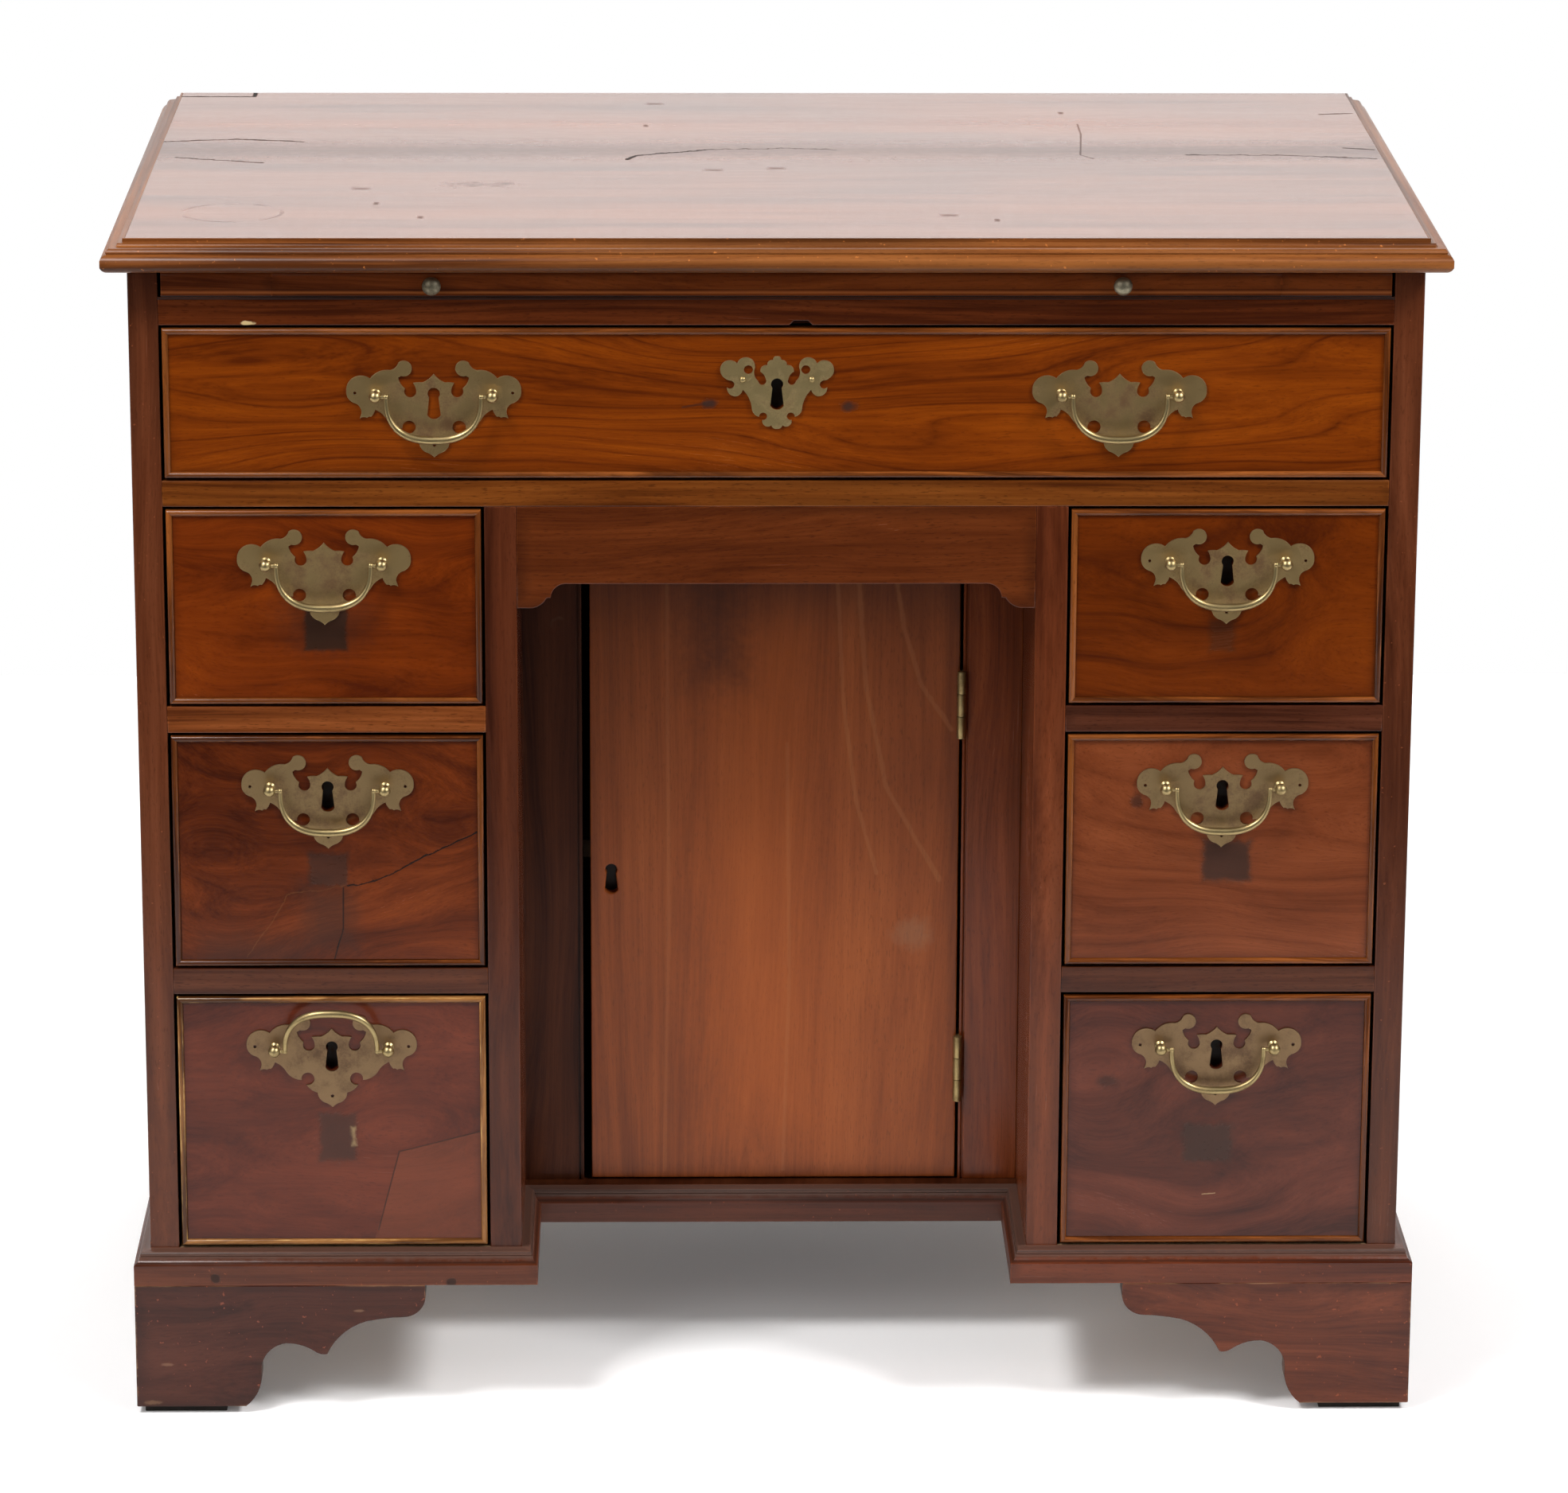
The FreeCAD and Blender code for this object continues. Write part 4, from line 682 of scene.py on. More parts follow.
# A mark is where it lies, its shade, how much it covers and how much it dulls the polish
small_dents = [(-0.084, 0.138), (-0.257, -0.139), (-0.227, -0.185), (0.141, -0.194), (0.204, 0.187)]
broad_dents = [(-0.078, 0.222), (-0.269, -0.089), (0.003, -0.018), (-0.039, -0.024), (0.111, -0.178)]
top_marks = [
    (patch((0.0, 0.045), (0.90, 0.045), 0.03, 0.05, True), BLOOM, 0.7, 0.35),
    (patch((0.0, 0.145), (0.90, 0.03), 0.03, 0.05, True), FADED_BACK, 0.5, 0.15),
    (patch((0.0, -0.165), (0.90, 0.04), 0.03, 0.05, True), FADED_FRONT, 0.4, 0.1),
    (patch((-0.1925, -0.075), (0.034, 0.006), 0.010, 0.05, True), GREY, 0.6, 0.5),
    (crack([(-0.096, 0.013), (-0.090, 0.028), (-0.038, 0.050)], 0.0024, 0.012, True), INK_AND_SHADE, 0.95, 1.0),
    (crack([(-0.038, 0.050), (0.010, 0.054), (0.044, 0.050)], 0.0018, 0.014, True), INK_AND_SHADE, 0.75, 0.9),
    (crack([(-0.409, 0.078), (-0.359, 0.087), (-0.316, 0.078)], 0.0026, 0.01, True), INK_AND_SHADE, 0.9, 1.0),
    (crack([(-0.397, 0.020), (-0.339, 0.001)], 0.0022, 0.01, True), INK_AND_SHADE, 0.8, 1.0),
    (crack([(-0.410, 0.250), (-0.359, 0.250), (-0.359, 0.266)], 0.0026, 0.002, True), INK_AND_SHADE, 1.0, 1.0),
    (crack([(0.280, 0.030), (0.342, 0.030), (0.405, 0.017)], 0.0022, 0.01, True), INK_AND_SHADE, 0.8, 1.0),
    (crack([(0.388, 0.056), (0.407, 0.050)], 0.0024, 0.004, True), INK_AND_SHADE, 0.9, 1.0),
    (crack([(0.384, 0.182), (0.406, 0.186)], 0.0024, 0.004, True), INK_AND_SHADE, 0.8, 1.0),
    (crack([(0.213, 0.145), (0.213, 0.106), (0.208, 0.030), (0.216, 0.017)], 0.0010, 0.012, True),
     INK_AND_SHADE, 0.55, 1.0),
    (ring_mark((-0.348, -0.170), (0.032, 0.030), 0.06, True), GREY, 0.5, 0.6),
    *spots(small_dents, (0.003, 0.008), INK_AND_SHADE, 0.6),
    *spots(broad_dents, (0.009, 0.005), INK_AND_SHADE, 0.5),
]
lip_grime = [
    (patch((-0.2300, 0.7615), (0.2600, 0.0050), 0.004, 0.010), LIP_GRIME, 0.6, 0.2),
    (patch((0.0600, 0.7605), (0.2200, 0.0040), 0.004, 0.010), LIP_SMEAR, 0.5, 0.2),
    (patch((0.3000, 0.7615), (0.2000, 0.0050), 0.004, 0.010), LIP_GRIME, 0.6, 0.2),
]
knots = [
    (blotch_mark((-0.0430, 0.6813), (0.0045, 0.0030)), INK_AND_SHADE, 0.85, 0.5),
    (blotch_mark((0.0454, 0.6797), (0.0045, 0.0030)), INK_AND_SHADE, 0.8, 0.5),
    (crack([(-0.0600, 0.6790), (-0.0460, 0.6810)], 0.0012), INK_AND_SHADE, 0.5, 0.3),
]
slide_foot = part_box("brushing_slide")[0].z
# Painted light and shade of a bead on the slide's front: a painted shadow line in the gap over the rail, a
# painted highlight, and a painted shade line above it
slide_painted_bead = [
    (front_line(slide_foot + 0.3 * MM, 1.2 * MM), INK_AND_SHADE, 0.95, 0.3),
    (front_line(slide_foot + 2.8 * MM, 1.4 * MM), PAINTED_BEAD_HIGHLIGHT, 0.55, 0.0),
    (front_line(slide_foot + 4.6 * MM, 0.6 * MM), INK_AND_SHADE, 0.6, 0.0),
]
rail_chip_and_shadow = [
    (blotch_mark((-0.3347, 0.7334), (0.0045, 0.0014), 0.2), CHIP, 0.95, 1.0),
    # Painted shadow line along the rail's top edge, under the slide
    (front_line(slide_foot - 1.2 * MM, 1.2 * MM), INK_AND_SHADE, 0.9, 0.3),
]
door_marks_and_shadow = [
    (patch((-0.0050, 0.3300), (0.0700, 0.3600), 0.04, 0.03), WARM_HEART, 0.32, 0.0),
    (patch((-0.0360, 0.5000), (0.0300, 0.0700), 0.025, 0.03), STAIN_AND_SHADE, 0.75, 0.0),
    # Painted shadow of the apron across the top of the door
    (patch((0.0000, 0.5450), (0.3000, 0.0500), 0.04, 0.01), STAIN_AND_SHADE, 0.75, 0.0),
    (crack([(0.0800, 0.5460), (0.0870, 0.5000), (0.0990, 0.4600), (0.1190, 0.4300)], 0.0026, 0.006),
     PALE_LINE, 0.26, 0.0),
    (crack([(0.0560, 0.5450), (0.0620, 0.4600), (0.0760, 0.3900), (0.1120, 0.3250)], 0.0026, 0.006),
     PALE_LINE, 0.26, 0.0),
    (crack([(0.0430, 0.5300), (0.0470, 0.4500), (0.0560, 0.3800), (0.0700, 0.3300)], 0.0022, 0.006),
     PALE_LINE, 0.24, 0.0),
    (crack([(-0.0700, 0.5400), (-0.0690, 0.3000), (-0.0720, 0.1200)], 0.0020, 0.004), PALE_LINE, 0.16, 0.0),
    (crack([(0.0100, 0.4200), (0.0120, 0.2600), (0.0080, 0.1200)], 0.0020, 0.004), PALE_LINE, 0.16, 0.0),
    (blotch_mark((0.0950, 0.2870), (0.012, 0.010)), RUBBED, 0.35, 0.3),
]
front_marks = {
    ("left", 1): [
        (patch((-0.2884, 0.5330), (0.0272, 0.0270), 0.002, 0.005), BLACK_GLUE, 0.88, 0.1),
        (blotch_mark((-0.2884, 0.5400), (0.030, 0.022)), OLD_GLUE, 0.35, 0.0),
    ],
    ("left", 2): [
        (patch((-0.2892, 0.3725), (0.0248, 0.0218), 0.002, 0.005), OLD_GLUE, 0.7, 0.1),
        (patch((-0.2892, 0.3400), (0.0320, 0.0420), 0.012, 0.012), OLD_GLUE, 0.6, 0.0),
        (patch((-0.3400, 0.3180), (0.0600, 0.0180), 0.014, 0.012), OLD_GLUE, 0.5, 0.0),
        (crack([(-0.2768, 0.3616), (-0.2593, 0.3645), (-0.2272, 0.3811), (-0.1923, 0.3977)], 0.0009, 0.005),
         INK_AND_SHADE, 0.95, 0.0),
        (crack([(-0.2783, 0.3616), (-0.3160, 0.3555), (-0.3265, 0.3358), (-0.3428, 0.3145)], 0.0006, 0.008),
         HAIR_LINE, 0.25, 0.0),
        (crack([(-0.2797, 0.3600), (-0.2801, 0.3326), (-0.2862, 0.3113)], 0.0008, 0.005), INK_AND_SHADE, 0.9, 0.0),
    ],
    ("left", 3): [
        (corner_piece((-0.2582, 0.1341), (-0.2458, 0.1793), (-0.1930, 0.1930)), LET_IN, 0.3, 0.0),
        (crack([(-0.2600, 0.1250), (-0.2458, 0.1793), (-0.1930, 0.1930)], 0.0007, 0.001), INK_AND_SHADE, 0.7, 0.2),
        (patch((-0.2857, 0.1894), (0.0237, 0.0326), 0.0025, 0.006), OLD_GLUE, 0.7, 0.1),
        (patch((-0.2752, 0.1900), (0.0022, 0.0120), 0.0016, 0.006), CHIP, 0.35, 0.6),
    ],
    ("right", 1): [
        (patch((0.2864, 0.5286), (0.0159, 0.0203), 0.0025, 0.006), FAINT_GLUE, 0.6, 0.1),
    ],
    ("right", 2): [
        (patch((0.2927, 0.3772), (0.0302, 0.0270), 0.003, 0.006), OLD_GLUE, 0.88, 0.1),
        (blotch_mark((0.2340, 0.4180), (0.004, 0.004)), INK_AND_SHADE, 0.7, 0.1),
    ],
    ("right", 3): [
        (patch((0.2843, 0.1843), (0.0317, 0.0260), 0.003, 0.008), OLD_GLUE, 0.8, 0.1),
        (blotch_mark((0.2180, 0.2270), (0.007, 0.004)), INK_AND_SHADE, 0.6, 0.1),
        (crack([(0.2816, 0.1482), (0.2900, 0.1490)], 0.0006), CHIP, 0.3, 0.6),
    ],
}
plugs = [
    (blotch_mark((-0.3670, 0.0949), (0.003, 0.003), 0.3), INK_AND_SHADE, 0.8, 0.5),
    (blotch_mark((-0.2123, 0.0918), (0.003, 0.003), 0.3), INK_AND_SHADE, 0.8, 0.5),
]
plug_ring = [(ring_mark((-0.1415, 0.5020), (0.0045, 0.0045), 0.35), PLUG_RIM, 0.5, 0.3)]
foot_wear = [
    (blotch_mark((-0.4000, 0.0347), (0.0035, 0.0010)), WORN_FOOT, 0.35, 0.3),
    (blotch_mark((-0.2731, 0.0721), (0.0030, 0.0008)), WORN_FOOT, 0.4, 0.3),
    (blotch_mark((-0.4100, 0.0080), (0.0050, 0.0014)), WORN_FOOT, 0.35, 0.3),
]
dust_and_groove_shade = [
    (patch((0.0, 0.1110), (0.9, 0.0080), 0.002, 0.004), DUST, 0.4, 0.6),
    # Painted shade in two grooves of the moulding's upper profile
    (patch((0.0, 0.1108), (0.9, 0.0009), 0.0006, 0.0008), INK_AND_SHADE, 0.55, 0.3),
    (patch((0.0, 0.1050), (0.9, 0.0011), 0.0006, 0.0008), INK_AND_SHADE, 0.6, 0.3),
]

# What pieces of one kind share
UPRIGHT = {"lean": 90, "rings": 4, "bands": 0.9}
FRAME = {"lean": 90, "rings": 4}
RAIL = {"flow": 0.03, "lean": 160, "rings": 3, "bands": 1.0, "streak": 0.8, "pores": 0.6}
BASE = {"flow": 0.03, "lean": 100, "rings": 2, "bands": 0.9}
FOOT = {"swirl": (3.0, 9.0), "flow": 0.12, "rings": 8, "lean": 20, "worn_tone": BARE_FOOT}
COCKBEAD = {"lean": 200, "rings": 3, "bands": 1.2, "streak": 0.8}
FLAME = {"flow": 0.28, "lean": 30, "lines": 0.2, "bands": 0.75, "streak": 0.3, "blotch": 1.0}

woods = {
    "sides": wood("side_mahogany", shades(0.085, 0.021, 0.007), seed=1.0, specks=0.3, **UPRIGHT),
    "left_wall": wood("left_wall_mahogany", shades(0.072, 0.016, 0.005), seed=1.5, **UPRIGHT),
    "right_wall": wood("right_wall_mahogany", shades(0.108, 0.024, 0.007), seed=1.8, **UPRIGHT),
    "top": wood("top_mahogany", shades(0.190, 0.062, 0.028, 0.6, 1.35), swirl=(0.9, 5.0), flow=0.08, rings=9,
                lean=12, lines=0.05, bands=0.8, streak=0.5, seed=2.0, rough=0.22, coat=0.35, shine=0.32,
                grime=0.1, worn=0.1, wave=0.3 * MM, marks=top_marks),
    "top_edge": wood("top_edge_mahogany", shades(0.172, 0.051, 0.0105, 0.4), flow=0.015, lean=200, rings=1.5,
                     bands=1.2, streak=0.8, seed=3.0, rough=0.34, coat=0.0, shine=0.22, grime=0.7, worn=0.3,
                     specks=0.5, marks=lip_grime),
    "slide": wood("slide_mahogany", shades(0.135, 0.0270, 0.0040), lean=120, rings=4, bands=0.8, streak=0.6,
                  seed=4.0, marks=slide_painted_bead),
    "mid_rail": wood("mid_rail_mahogany", shades(0.120, 0.0300, 0.0038), seed=5.0, **RAIL),
    "slide_rail": wood("slide_rail_mahogany", shades(0.108, 0.0215, 0.0040), seed=5.3, marks=rail_chip_and_shadow,
                       **RAIL),
    "light_rail": wood("light_rail_mahogany", shades(0.158, 0.0400, 0.0085), seed=5.5, **RAIL),
    "dark_rail": wood("dark_rail_mahogany", shades(0.066, 0.016, 0.005), seed=5.7, **RAIL),
    "dull_rail": wood("dull_rail_mahogany", shades(0.066, 0.0170, 0.0070), seed=5.9, **RAIL),
    "apron": wood("apron_mahogany", shades(0.076, 0.0150, 0.0025), lean=60, rings=6, bands=0.5, pores=0.5,
                  seed=6.0),
    "left_frame": wood("left_frame_mahogany", shades(0.054, 0.0130, 0.004), seed=7.0, rough=0.42, shine=0.12,
                       marks=plug_ring, **FRAME),
    "right_frame": wood("right_frame_mahogany", shades(0.158, 0.032, 0.007), seed=7.4, **FRAME),
    "door": wood("door_mahogany", shades(0.232, 0.052, 0.0090), swirl=(0.8, 7.0), flow=0.09, rings=8, lean=50,
                 bands=0.6, streak=0.4, fibres=0.35, contrast=1.15, seed=8.2, rough=0.36, marks=door_marks_and_shadow),
    "left_base": wood("left_base_mahogany", shades(0.092, 0.022, 0.0075), seed=9.0, worn=0.5, specks=0.4,
                      marks=plugs + dust_and_groove_shade, **BASE),
    "right_base": wood("right_base_mahogany", shades(0.092, 0.019, 0.006), seed=9.5, worn=0.5, specks=0.3,
                       marks=dust_and_groove_shade, **BASE),
    "sill": wood("sill_mahogany", shades(0.070, 0.016, 0.0055), seed=9.8, rough=0.4, worn=0.4, specks=0.5,
                 marks=dust_and_groove_shade, **BASE),
    "left_foot": wood("left_foot_mahogany", shades(0.049, 0.011, 0.005), seed=10.0, worn=0.7, specks=0.9,
                      marks=foot_wear, **FOOT),
    "right_foot": wood("right_foot_mahogany", shades(0.091, 0.019, 0.006), seed=10.6, worn=0.6, specks=0.4,
                       **FOOT),
    "deal": wood("bare_deal", shades(0.29, 0.18, 0.098, 0.6, 1.25), swirl=(0.7, 6.0), flow=0.05, lean=70,
                 rings=8, lines=0.3, blotch=0.25, contrast=1.3, seed=11.0, rough=0.7, coat=0.0, worn=0.1),
    "lining": wood("drawer_lining_oak", shades(0.34, 0.225, 0.125, 0.6, 1.25), lean=120, rings=4, streak=0.7,
                   seed=12.0, rough=0.65, coat=0.0, worn=0.1),
    "bead": wood("cockbead_mahogany", shades(0.122, 0.031, 0.005, 0.35, 2.0), seed=13.0, worn=0.5,
                 **COCKBEAD),
    "worn_bead": wood("worn_cockbead", shades(0.230, 0.088, 0.022, 0.25, 2.0), blotch=1.4, seed=14.0,
                      worn=1.0, worn_tone=BARE_BEAD, **COCKBEAD),
    "pad": wood("foot_pad_wood", shades(0.014, 0.009, 0.006), seed=15.0, rough=0.7, coat=0.0, worn=0.0),
    "long": wood("long_drawer_mahogany", shades(0.139, 0.0245, 0.0006, 0.5, 1.45), swirl=(1.9, 9.0),
                 flow=0.16, rings=18, lean=70, lines=0.4, bands=0.5, blotch=0.35, seed=16.4, marks=knots),
}


def flame(hand, number, tones, swirl, rings, seed, contrast):
    """The figured veneer of one short drawer's front, with that front's own marks."""
    return wood(f"front_{hand}_{number}", tones, swirl=swirl, rings=rings, seed=seed, contrast=contrast,
                marks=front_marks[hand, number], **FLAME)


fronts = {
    ("left", 1): flame("left", 1, shades(0.122, 0.0185, 0.0006), (3.5, 7.0), 7, 21.0, 1.3),
    ("left", 2): flame("left", 2, shades(0.096, 0.0160, 0.0018, 0.4, 1.7), (4.0, 7.0), 7, 23.0, 1.4),
    ("left", 3): flame("left", 3, shades(0.084, 0.0145, 0.0048), (3.5, 6.0), 6, 25.0, 1.5),
    ("right", 1): flame("right", 1, shades(0.108, 0.0178, 0.0004), (3.5, 7.0), 8, 27.0, 1.1),
    ("right", 2): flame("right", 2, shades(0.138, 0.0310, 0.0085), (3.0, 6.0), 6, 29.0, 1.0),
    ("right", 3): flame("right", 3, shades(0.072, 0.0145, 0.006), (4.0, 6.0), 7, 31.0, 1.5),
}
escutcheon_brass = brass("escutcheon_brass", (0.52, 0.39, 0.18), (0.22, 0.14, 0.062),
                         rough=0.40, patina=0.55, seed=0.4)
plate_brass = brass("plate_brass", (0.39, 0.270, 0.120), (0.160, 0.088, 0.040),
                    rough=0.42, patina=0.6, seed=1.0, heart=0.20)
mid_plate_brass = brass("mid_plate_brass", (0.32, 0.215, 0.104), (0.140, 0.078, 0.040),
                        rough=0.42, patina=0.6, seed=1.4, heart=0.14)
low_plate_brass = brass("low_plate_brass", (0.25, 0.160, 0.086), (0.130, 0.075, 0.042),
                        rough=0.44, patina=0.6, seed=1.8, heart=0.10)
bail_brass = brass("bail_brass", (0.37, 0.28, 0.133), (0.20, 0.14, 0.06), rough=0.37, patina=0.5, seed=2.0)
hinge_brass = brass("hinge_brass", (0.42, 0.31, 0.14), (0.16, 0.10, 0.04), rough=0.42, patina=0.6, seed=3.0)
knob_brass = brass("knob_brass", (0.30, 0.27, 0.19), (0.10, 0.08, 0.05), rough=0.42, patina=0.7, seed=4.0)
lock_iron = plain_metal("lock_iron", (0.035, 0.031, 0.029), 0.6)

# Sizes and places that tell the boards of one node apart
BEAD_DEPTH = 15 * MM
POST_WIDTH = 20 * MM
STRIP_WIDTH = 100 * MM
LONG_RAIL = 500 * MM
PAD_LEVEL = 4 * MM
SHELF_LEVEL = 200 * MM
KNEEHOLE_REACH = 200 * MM
CENTRE_REACH = 50 * MM


def is_bead(middle, extent):
    """Slot 1 for a cockbead, slot 0 for the front itself."""
    return 1 if extent.y < BEAD_DEPTH else 0


def is_post(middle, extent):
    """Slot 1 for a handle's posts, nuts and pins, slot 0 for its plate."""
    return 1 if extent.x < POST_WIDTH else 0


def is_strip(middle, extent):
    """Slot 1 for the top's moulded strips, slot 0 for its board."""
    return 0 if min(extent.x, extent.y) > STRIP_WIDTH else 1


def hand_of(middle, extent):
    """Slot 0 on the left, slot 1 on the right."""
    return 0 if middle.x < 0 else 1


def rail_tone(middle, extent):
    """Slots of the rails: under the slide, across the middle, upper left, lower ones, upper right."""
    if extent.x > LONG_RAIL:
        return 0 if middle.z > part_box("long_drawer_front")[1].z else 1
    if middle.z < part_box("drawer_front_left_2")[0].z:
        return 3
    return 2 if middle.x < 0 else 4


def is_cupboard_floor(middle, extent):
    """Slot 1 for the cupboard's floor, which shows under the door."""
    return 1 if abs(middle.x) < CENTRE_REACH and middle.z < SHELF_LEVEL else 0


def base_tone(middle, extent):
    """Slots of the base moulding: left, right, and the strips in the kneehole."""
    return 2 if abs(middle.x) < KNEEHOLE_REACH else hand_of(middle, extent)


def foot_tone(middle, extent):
    """Slots of the feet: left, right, and the pads under them."""
    return 2 if middle.z < PAD_LEVEL else hand_of(middle, extent)


softened("desk_top", [woods["top"], woods["top_edge"]], 0.4 * MM, is_strip)
softened("carcass_sides", [woods["sides"]], 0.7 * MM)
softened("kneehole_walls", [woods["left_wall"], woods["right_wall"]], 0.7 * MM, hand_of)
softened("back_boards", [woods["deal"]], 0.7 * MM)
rails = [woods[tone + "_rail"] for tone in ("slide", "mid", "light", "dark", "dull")]
softened("front_rails", rails, 0.6 * MM, rail_tone)
softened("runners_and_stops", [woods["deal"]], 0.5 * MM)
softened("floors_and_shelf", [woods["deal"], woods["left_frame"]], 0.6 * MM, is_cupboard_floor)
softened("apron", [woods["apron"]], 0.6 * MM)
softened("cupboard_frame", [woods["left_frame"], woods["right_frame"]], 0.7 * MM, hand_of)
softened("base_mouldings", [woods["left_base"], woods["right_base"], woods["sill"]], 0.4 * MM, base_tone)
softened("bracket_feet", [woods["left_foot"], woods["right_foot"], woods["pad"]], 0.7 * MM, foot_tone)
softened("brushing_slide", [woods["slide"]], 0.4 * MM, along=(0, 1, 2))
softened("cupboard_door", [woods["door"]], 0.9 * MM)
softened("long_drawer_front", [woods["long"], woods["bead"]], 0.4 * MM, is_bead)
softened("long_drawer_box", [woods["lining"]], 0.5 * MM)
for hand, number in SHORT_DRAWERS:
    bead = woods["worn_bead"] if (hand, number) == ("left", 3) else woods["bead"]
    softened(f"drawer_front_{hand}_{number}", [fronts[hand, number], bead], 0.4 * MM, is_bead)
    softened(f"drawer_box_{hand}_{number}", [woods["lining"]], 0.5 * MM)
bail_tree = bail_path()
for node in nodes:
    if node == "escutcheon":
        softened(node, [escutcheon_brass, bail_brass], 0.3 * MM, is_post)
    elif node.startswith(("handle_plate", "long_drawer_plates")):
        plate = {"2": mid_plate_brass, "3": low_plate_brass}.get(node[-1], plate_brass)
        softened(node, [plate, bail_brass], 0.3 * MM, is_post)
    elif node.startswith("bail"):
        bail(node, bail_tree, bail_brass)
    elif "hinge" in node:
        softened(node, [hinge_brass], 0.15 * MM)
    elif node == "slide_knobs":
        softened(node, [knob_brass], 0.2 * MM)
    elif "lock" in node or "bolt" in node:
        softened(node, [lock_iron], 0.2 * MM)


def ray_kinds(owner):
    """Whether a ray comes straight from the camera, and whether it comes by way of a mirror or glass."""
    rays = owner.add("LightPath").socket.node
    straight, mirrored, through = (Signal(owner, rays.outputs[f"Is {kind} Ray"])
                                   for kind in ("Camera", "Glossy", "Transmission"))
    return straight, mirrored.most(through)


# The studio's paper, the light of its own that it gives back, and the run of its sheets
PAPER = (0.93, 0.93, 0.93)
PAPER_FLECK = (0.90, 0.90, 0.90)
PAPER_TO_CAMERA = (0.995, 0.985, 0.985)
CAMERA_GLOW = 0.08
MIRROR_GLOW = 0.06
FLOOR_FRONT = -1.22
FLOOR_BACK = 1.6
SHEET_HALF = 2.6
BEND_RADIUS = 0.8
BEND_STEPS = 12
BACKDROP_TOP = 3.2
# Strength of the surround as light and in mirrors; to the camera it is 1
SURROUND_LIGHT = 0.05
SURROUND_MIRRORED = 0.06


def paper():
    """White studio paper."""
    finish = Finish("sweep_paper")
    fleck = finish.noise(finish.place(), 30.0, 2.0, 0.5)
    straight, mirrored = ray_kinds(finish)
    colour = finish.mix(fleck * 0.1, PAPER, PAPER_FLECK)
    colour = finish.mix(straight, colour, PAPER_TO_CAMERA)
    matt = finish.add("BsdfDiffuse", sockets={"Color": colour})
    strength = straight * CAMERA_GLOW + mirrored * MIRROR_GLOW
    glow = finish.add("Emission", sockets={"Color": (1, 1, 1, 1), "Strength": strength})
    both = finish.add("AddShader", sockets={0: matt, 1: glow})
    finish.tree.links.new(both.socket, finish.output.inputs["Surface"])
    return finish.material


def sheet(name, profile, finish):
    """A wide sheet of paper along a profile of depths and heights."""
    build = bmesh.new()
    rows = [[build.verts.new((x, y, z)) for y, z in profile] for x in (-SHEET_HALF, SHEET_HALF)]
    for left, right, far_right, far_left in zip(rows[0], rows[1], rows[1][1:], rows[0][1:]):
        build.faces.new((left, right, far_right, far_left)).smooth = True
    mesh = bpy.data.meshes.new(name)
    build.to_mesh(mesh)
    build.free()
    mesh.materials.append(finish)
    piece = bpy.data.objects.new(name, mesh)
    bpy.context.scene.collection.objects.link(piece)
    return piece


def sweep():
    """A pale floor, and a backdrop that curves up behind the desk for its polish to mirror."""
    finish = paper()
    sheet("studio_floor", [(FLOOR_FRONT, 0.0), (FLOOR_BACK, 0.0)], finish)
    curve = []
    for number in range(BEND_STEPS + 1):
        turn = math.radians(90 * number / BEND_STEPS)
        curve.append((FLOOR_BACK + BEND_RADIUS * math.sin(turn), BEND_RADIUS - BEND_RADIUS * math.cos(turn)))
    upright = (FLOOR_BACK + BEND_RADIUS, BACKDROP_TOP)
    backdrop = sheet("studio_backdrop", curve + [upright], finish)
    backdrop.visible_camera = False


def lamp(name, place, aim, width, height, power):
    """A soft box at a place, pointed at a spot."""
    light = bpy.data.lights.new(name, "AREA")
    light.shape = "RECTANGLE"
    light.size = width
    light.size_y = height
    light.energy = power
    lamp_object = bpy.data.objects.new(name, light)
    lamp_object.location = place
    lamp_object.rotation_euler = (Vector(aim) - Vector(place)).to_track_quat("-Z", "Y").to_euler()
    bpy.context.scene.collection.objects.link(lamp_object)


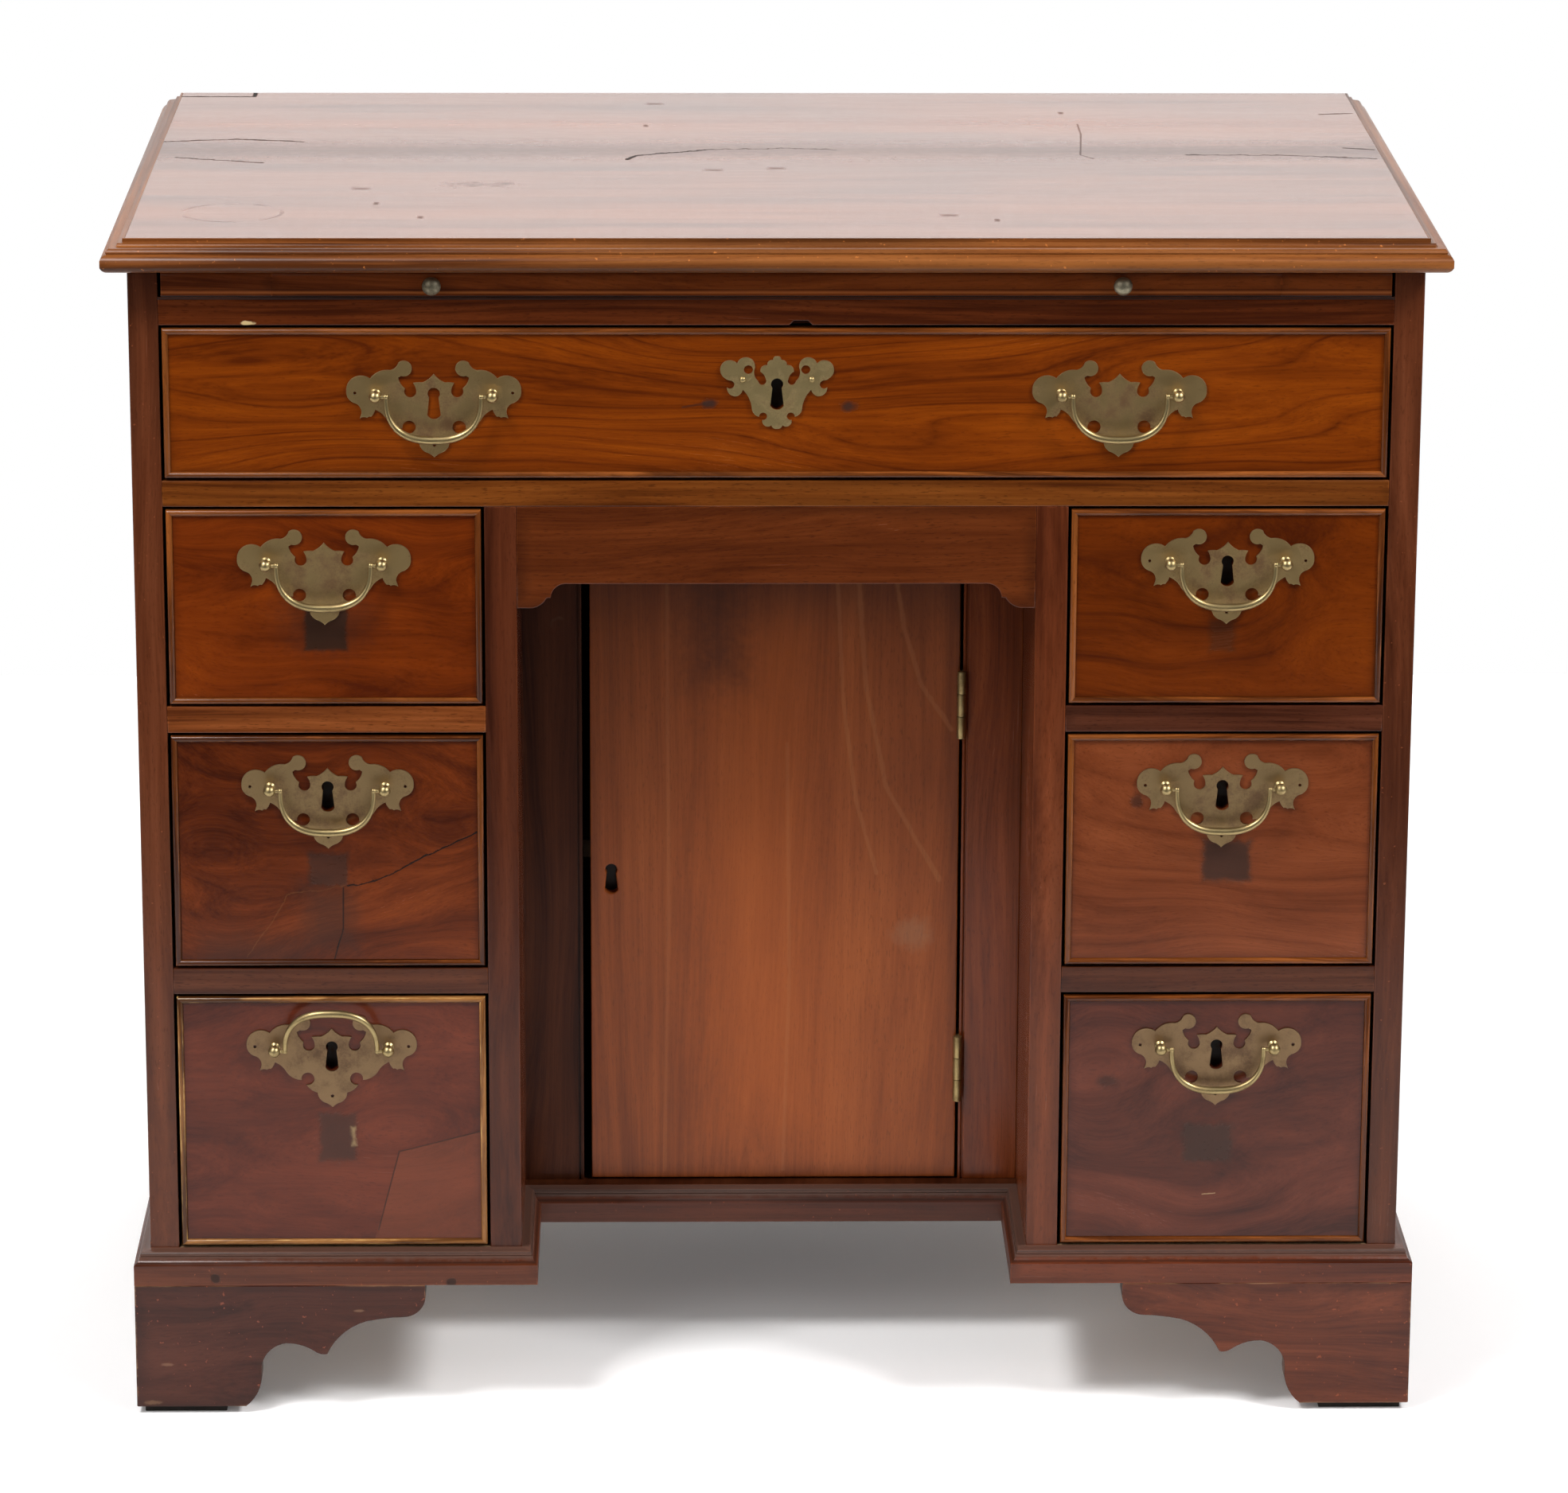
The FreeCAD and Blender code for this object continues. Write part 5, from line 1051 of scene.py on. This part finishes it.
def studio():
    """The sweep, the soft boxes and an even surround, dim as light and in mirrors, white to the camera."""
    sweep()
    lamp("left_key", (-1.35, -1.5, 2.85), (0, 0, 0.3), 0.7, 0.7, 68)
    lamp("right_key", (2.1, -1.35, 2.5), (0, 0, 0.3), 0.7, 0.7, 72)
    lamp("left_fill", (-2.5, -2.9, 2.3), (0, 0, 0.4), 2.4, 2.4, 47)
    lamp("right_fill", (2.6, -2.8, 2.3), (0, 0, 0.4), 2.4, 2.4, 37)
    lamp("back_box", (0.0, 1.9, 2.8), (0, 0.6, 0.0), 3.6, 1.0, 40)
    world = bpy.data.worlds.new("surround")
    world.use_nodes = True
    surround = Nodes(world.node_tree)
    straight, mirrored = ray_kinds(surround)
    strength = straight * (1 - SURROUND_LIGHT) + mirrored * (SURROUND_MIRRORED - SURROUND_LIGHT)
    strength = strength + SURROUND_LIGHT
    background = world.node_tree.nodes["Background"]
    background.inputs["Color"].default_value = (1, 1, 1, 1)
    world.node_tree.links.new(strength.socket, background.inputs["Strength"])
    bpy.context.scene.world = world


def camera():
    """The camera of the photograph: its focal length in pixels, its place and its turn."""
    focal, image_width = 8116.25, 1970.0
    yaw, pitch, roll = 0.01924, 0.27712, 0.00387
    stand = (-0.07169, -4.24447, 1.59359)
    ahead = Vector((math.sin(yaw) * math.cos(pitch), math.cos(yaw) * math.cos(pitch), -math.sin(pitch)))
    level_right = Vector((math.cos(yaw), -math.sin(yaw), 0))
    level_up = level_right.cross(ahead)
    right = level_right * math.cos(roll) + level_up * math.sin(roll)
    up = level_up * math.cos(roll) - level_right * math.sin(roll)
    lens = bpy.data.cameras.new("photo_camera")
    lens.sensor_fit = "HORIZONTAL"
    lens.sensor_width = 36.0
    lens.lens = focal / image_width * lens.sensor_width
    lens.clip_end = 100
    eye = bpy.data.objects.new("photo_camera", lens)
    turn = Matrix((right, up, -ahead)).transposed().to_4x4()
    eye.matrix_world = Matrix.Translation(stand) @ turn
    bpy.context.scene.collection.objects.link(eye)
    bpy.context.scene.camera = eye


studio()
camera()
bpy.context.scene.view_settings.view_transform = "Standard"
bpy.context.view_layer.update()
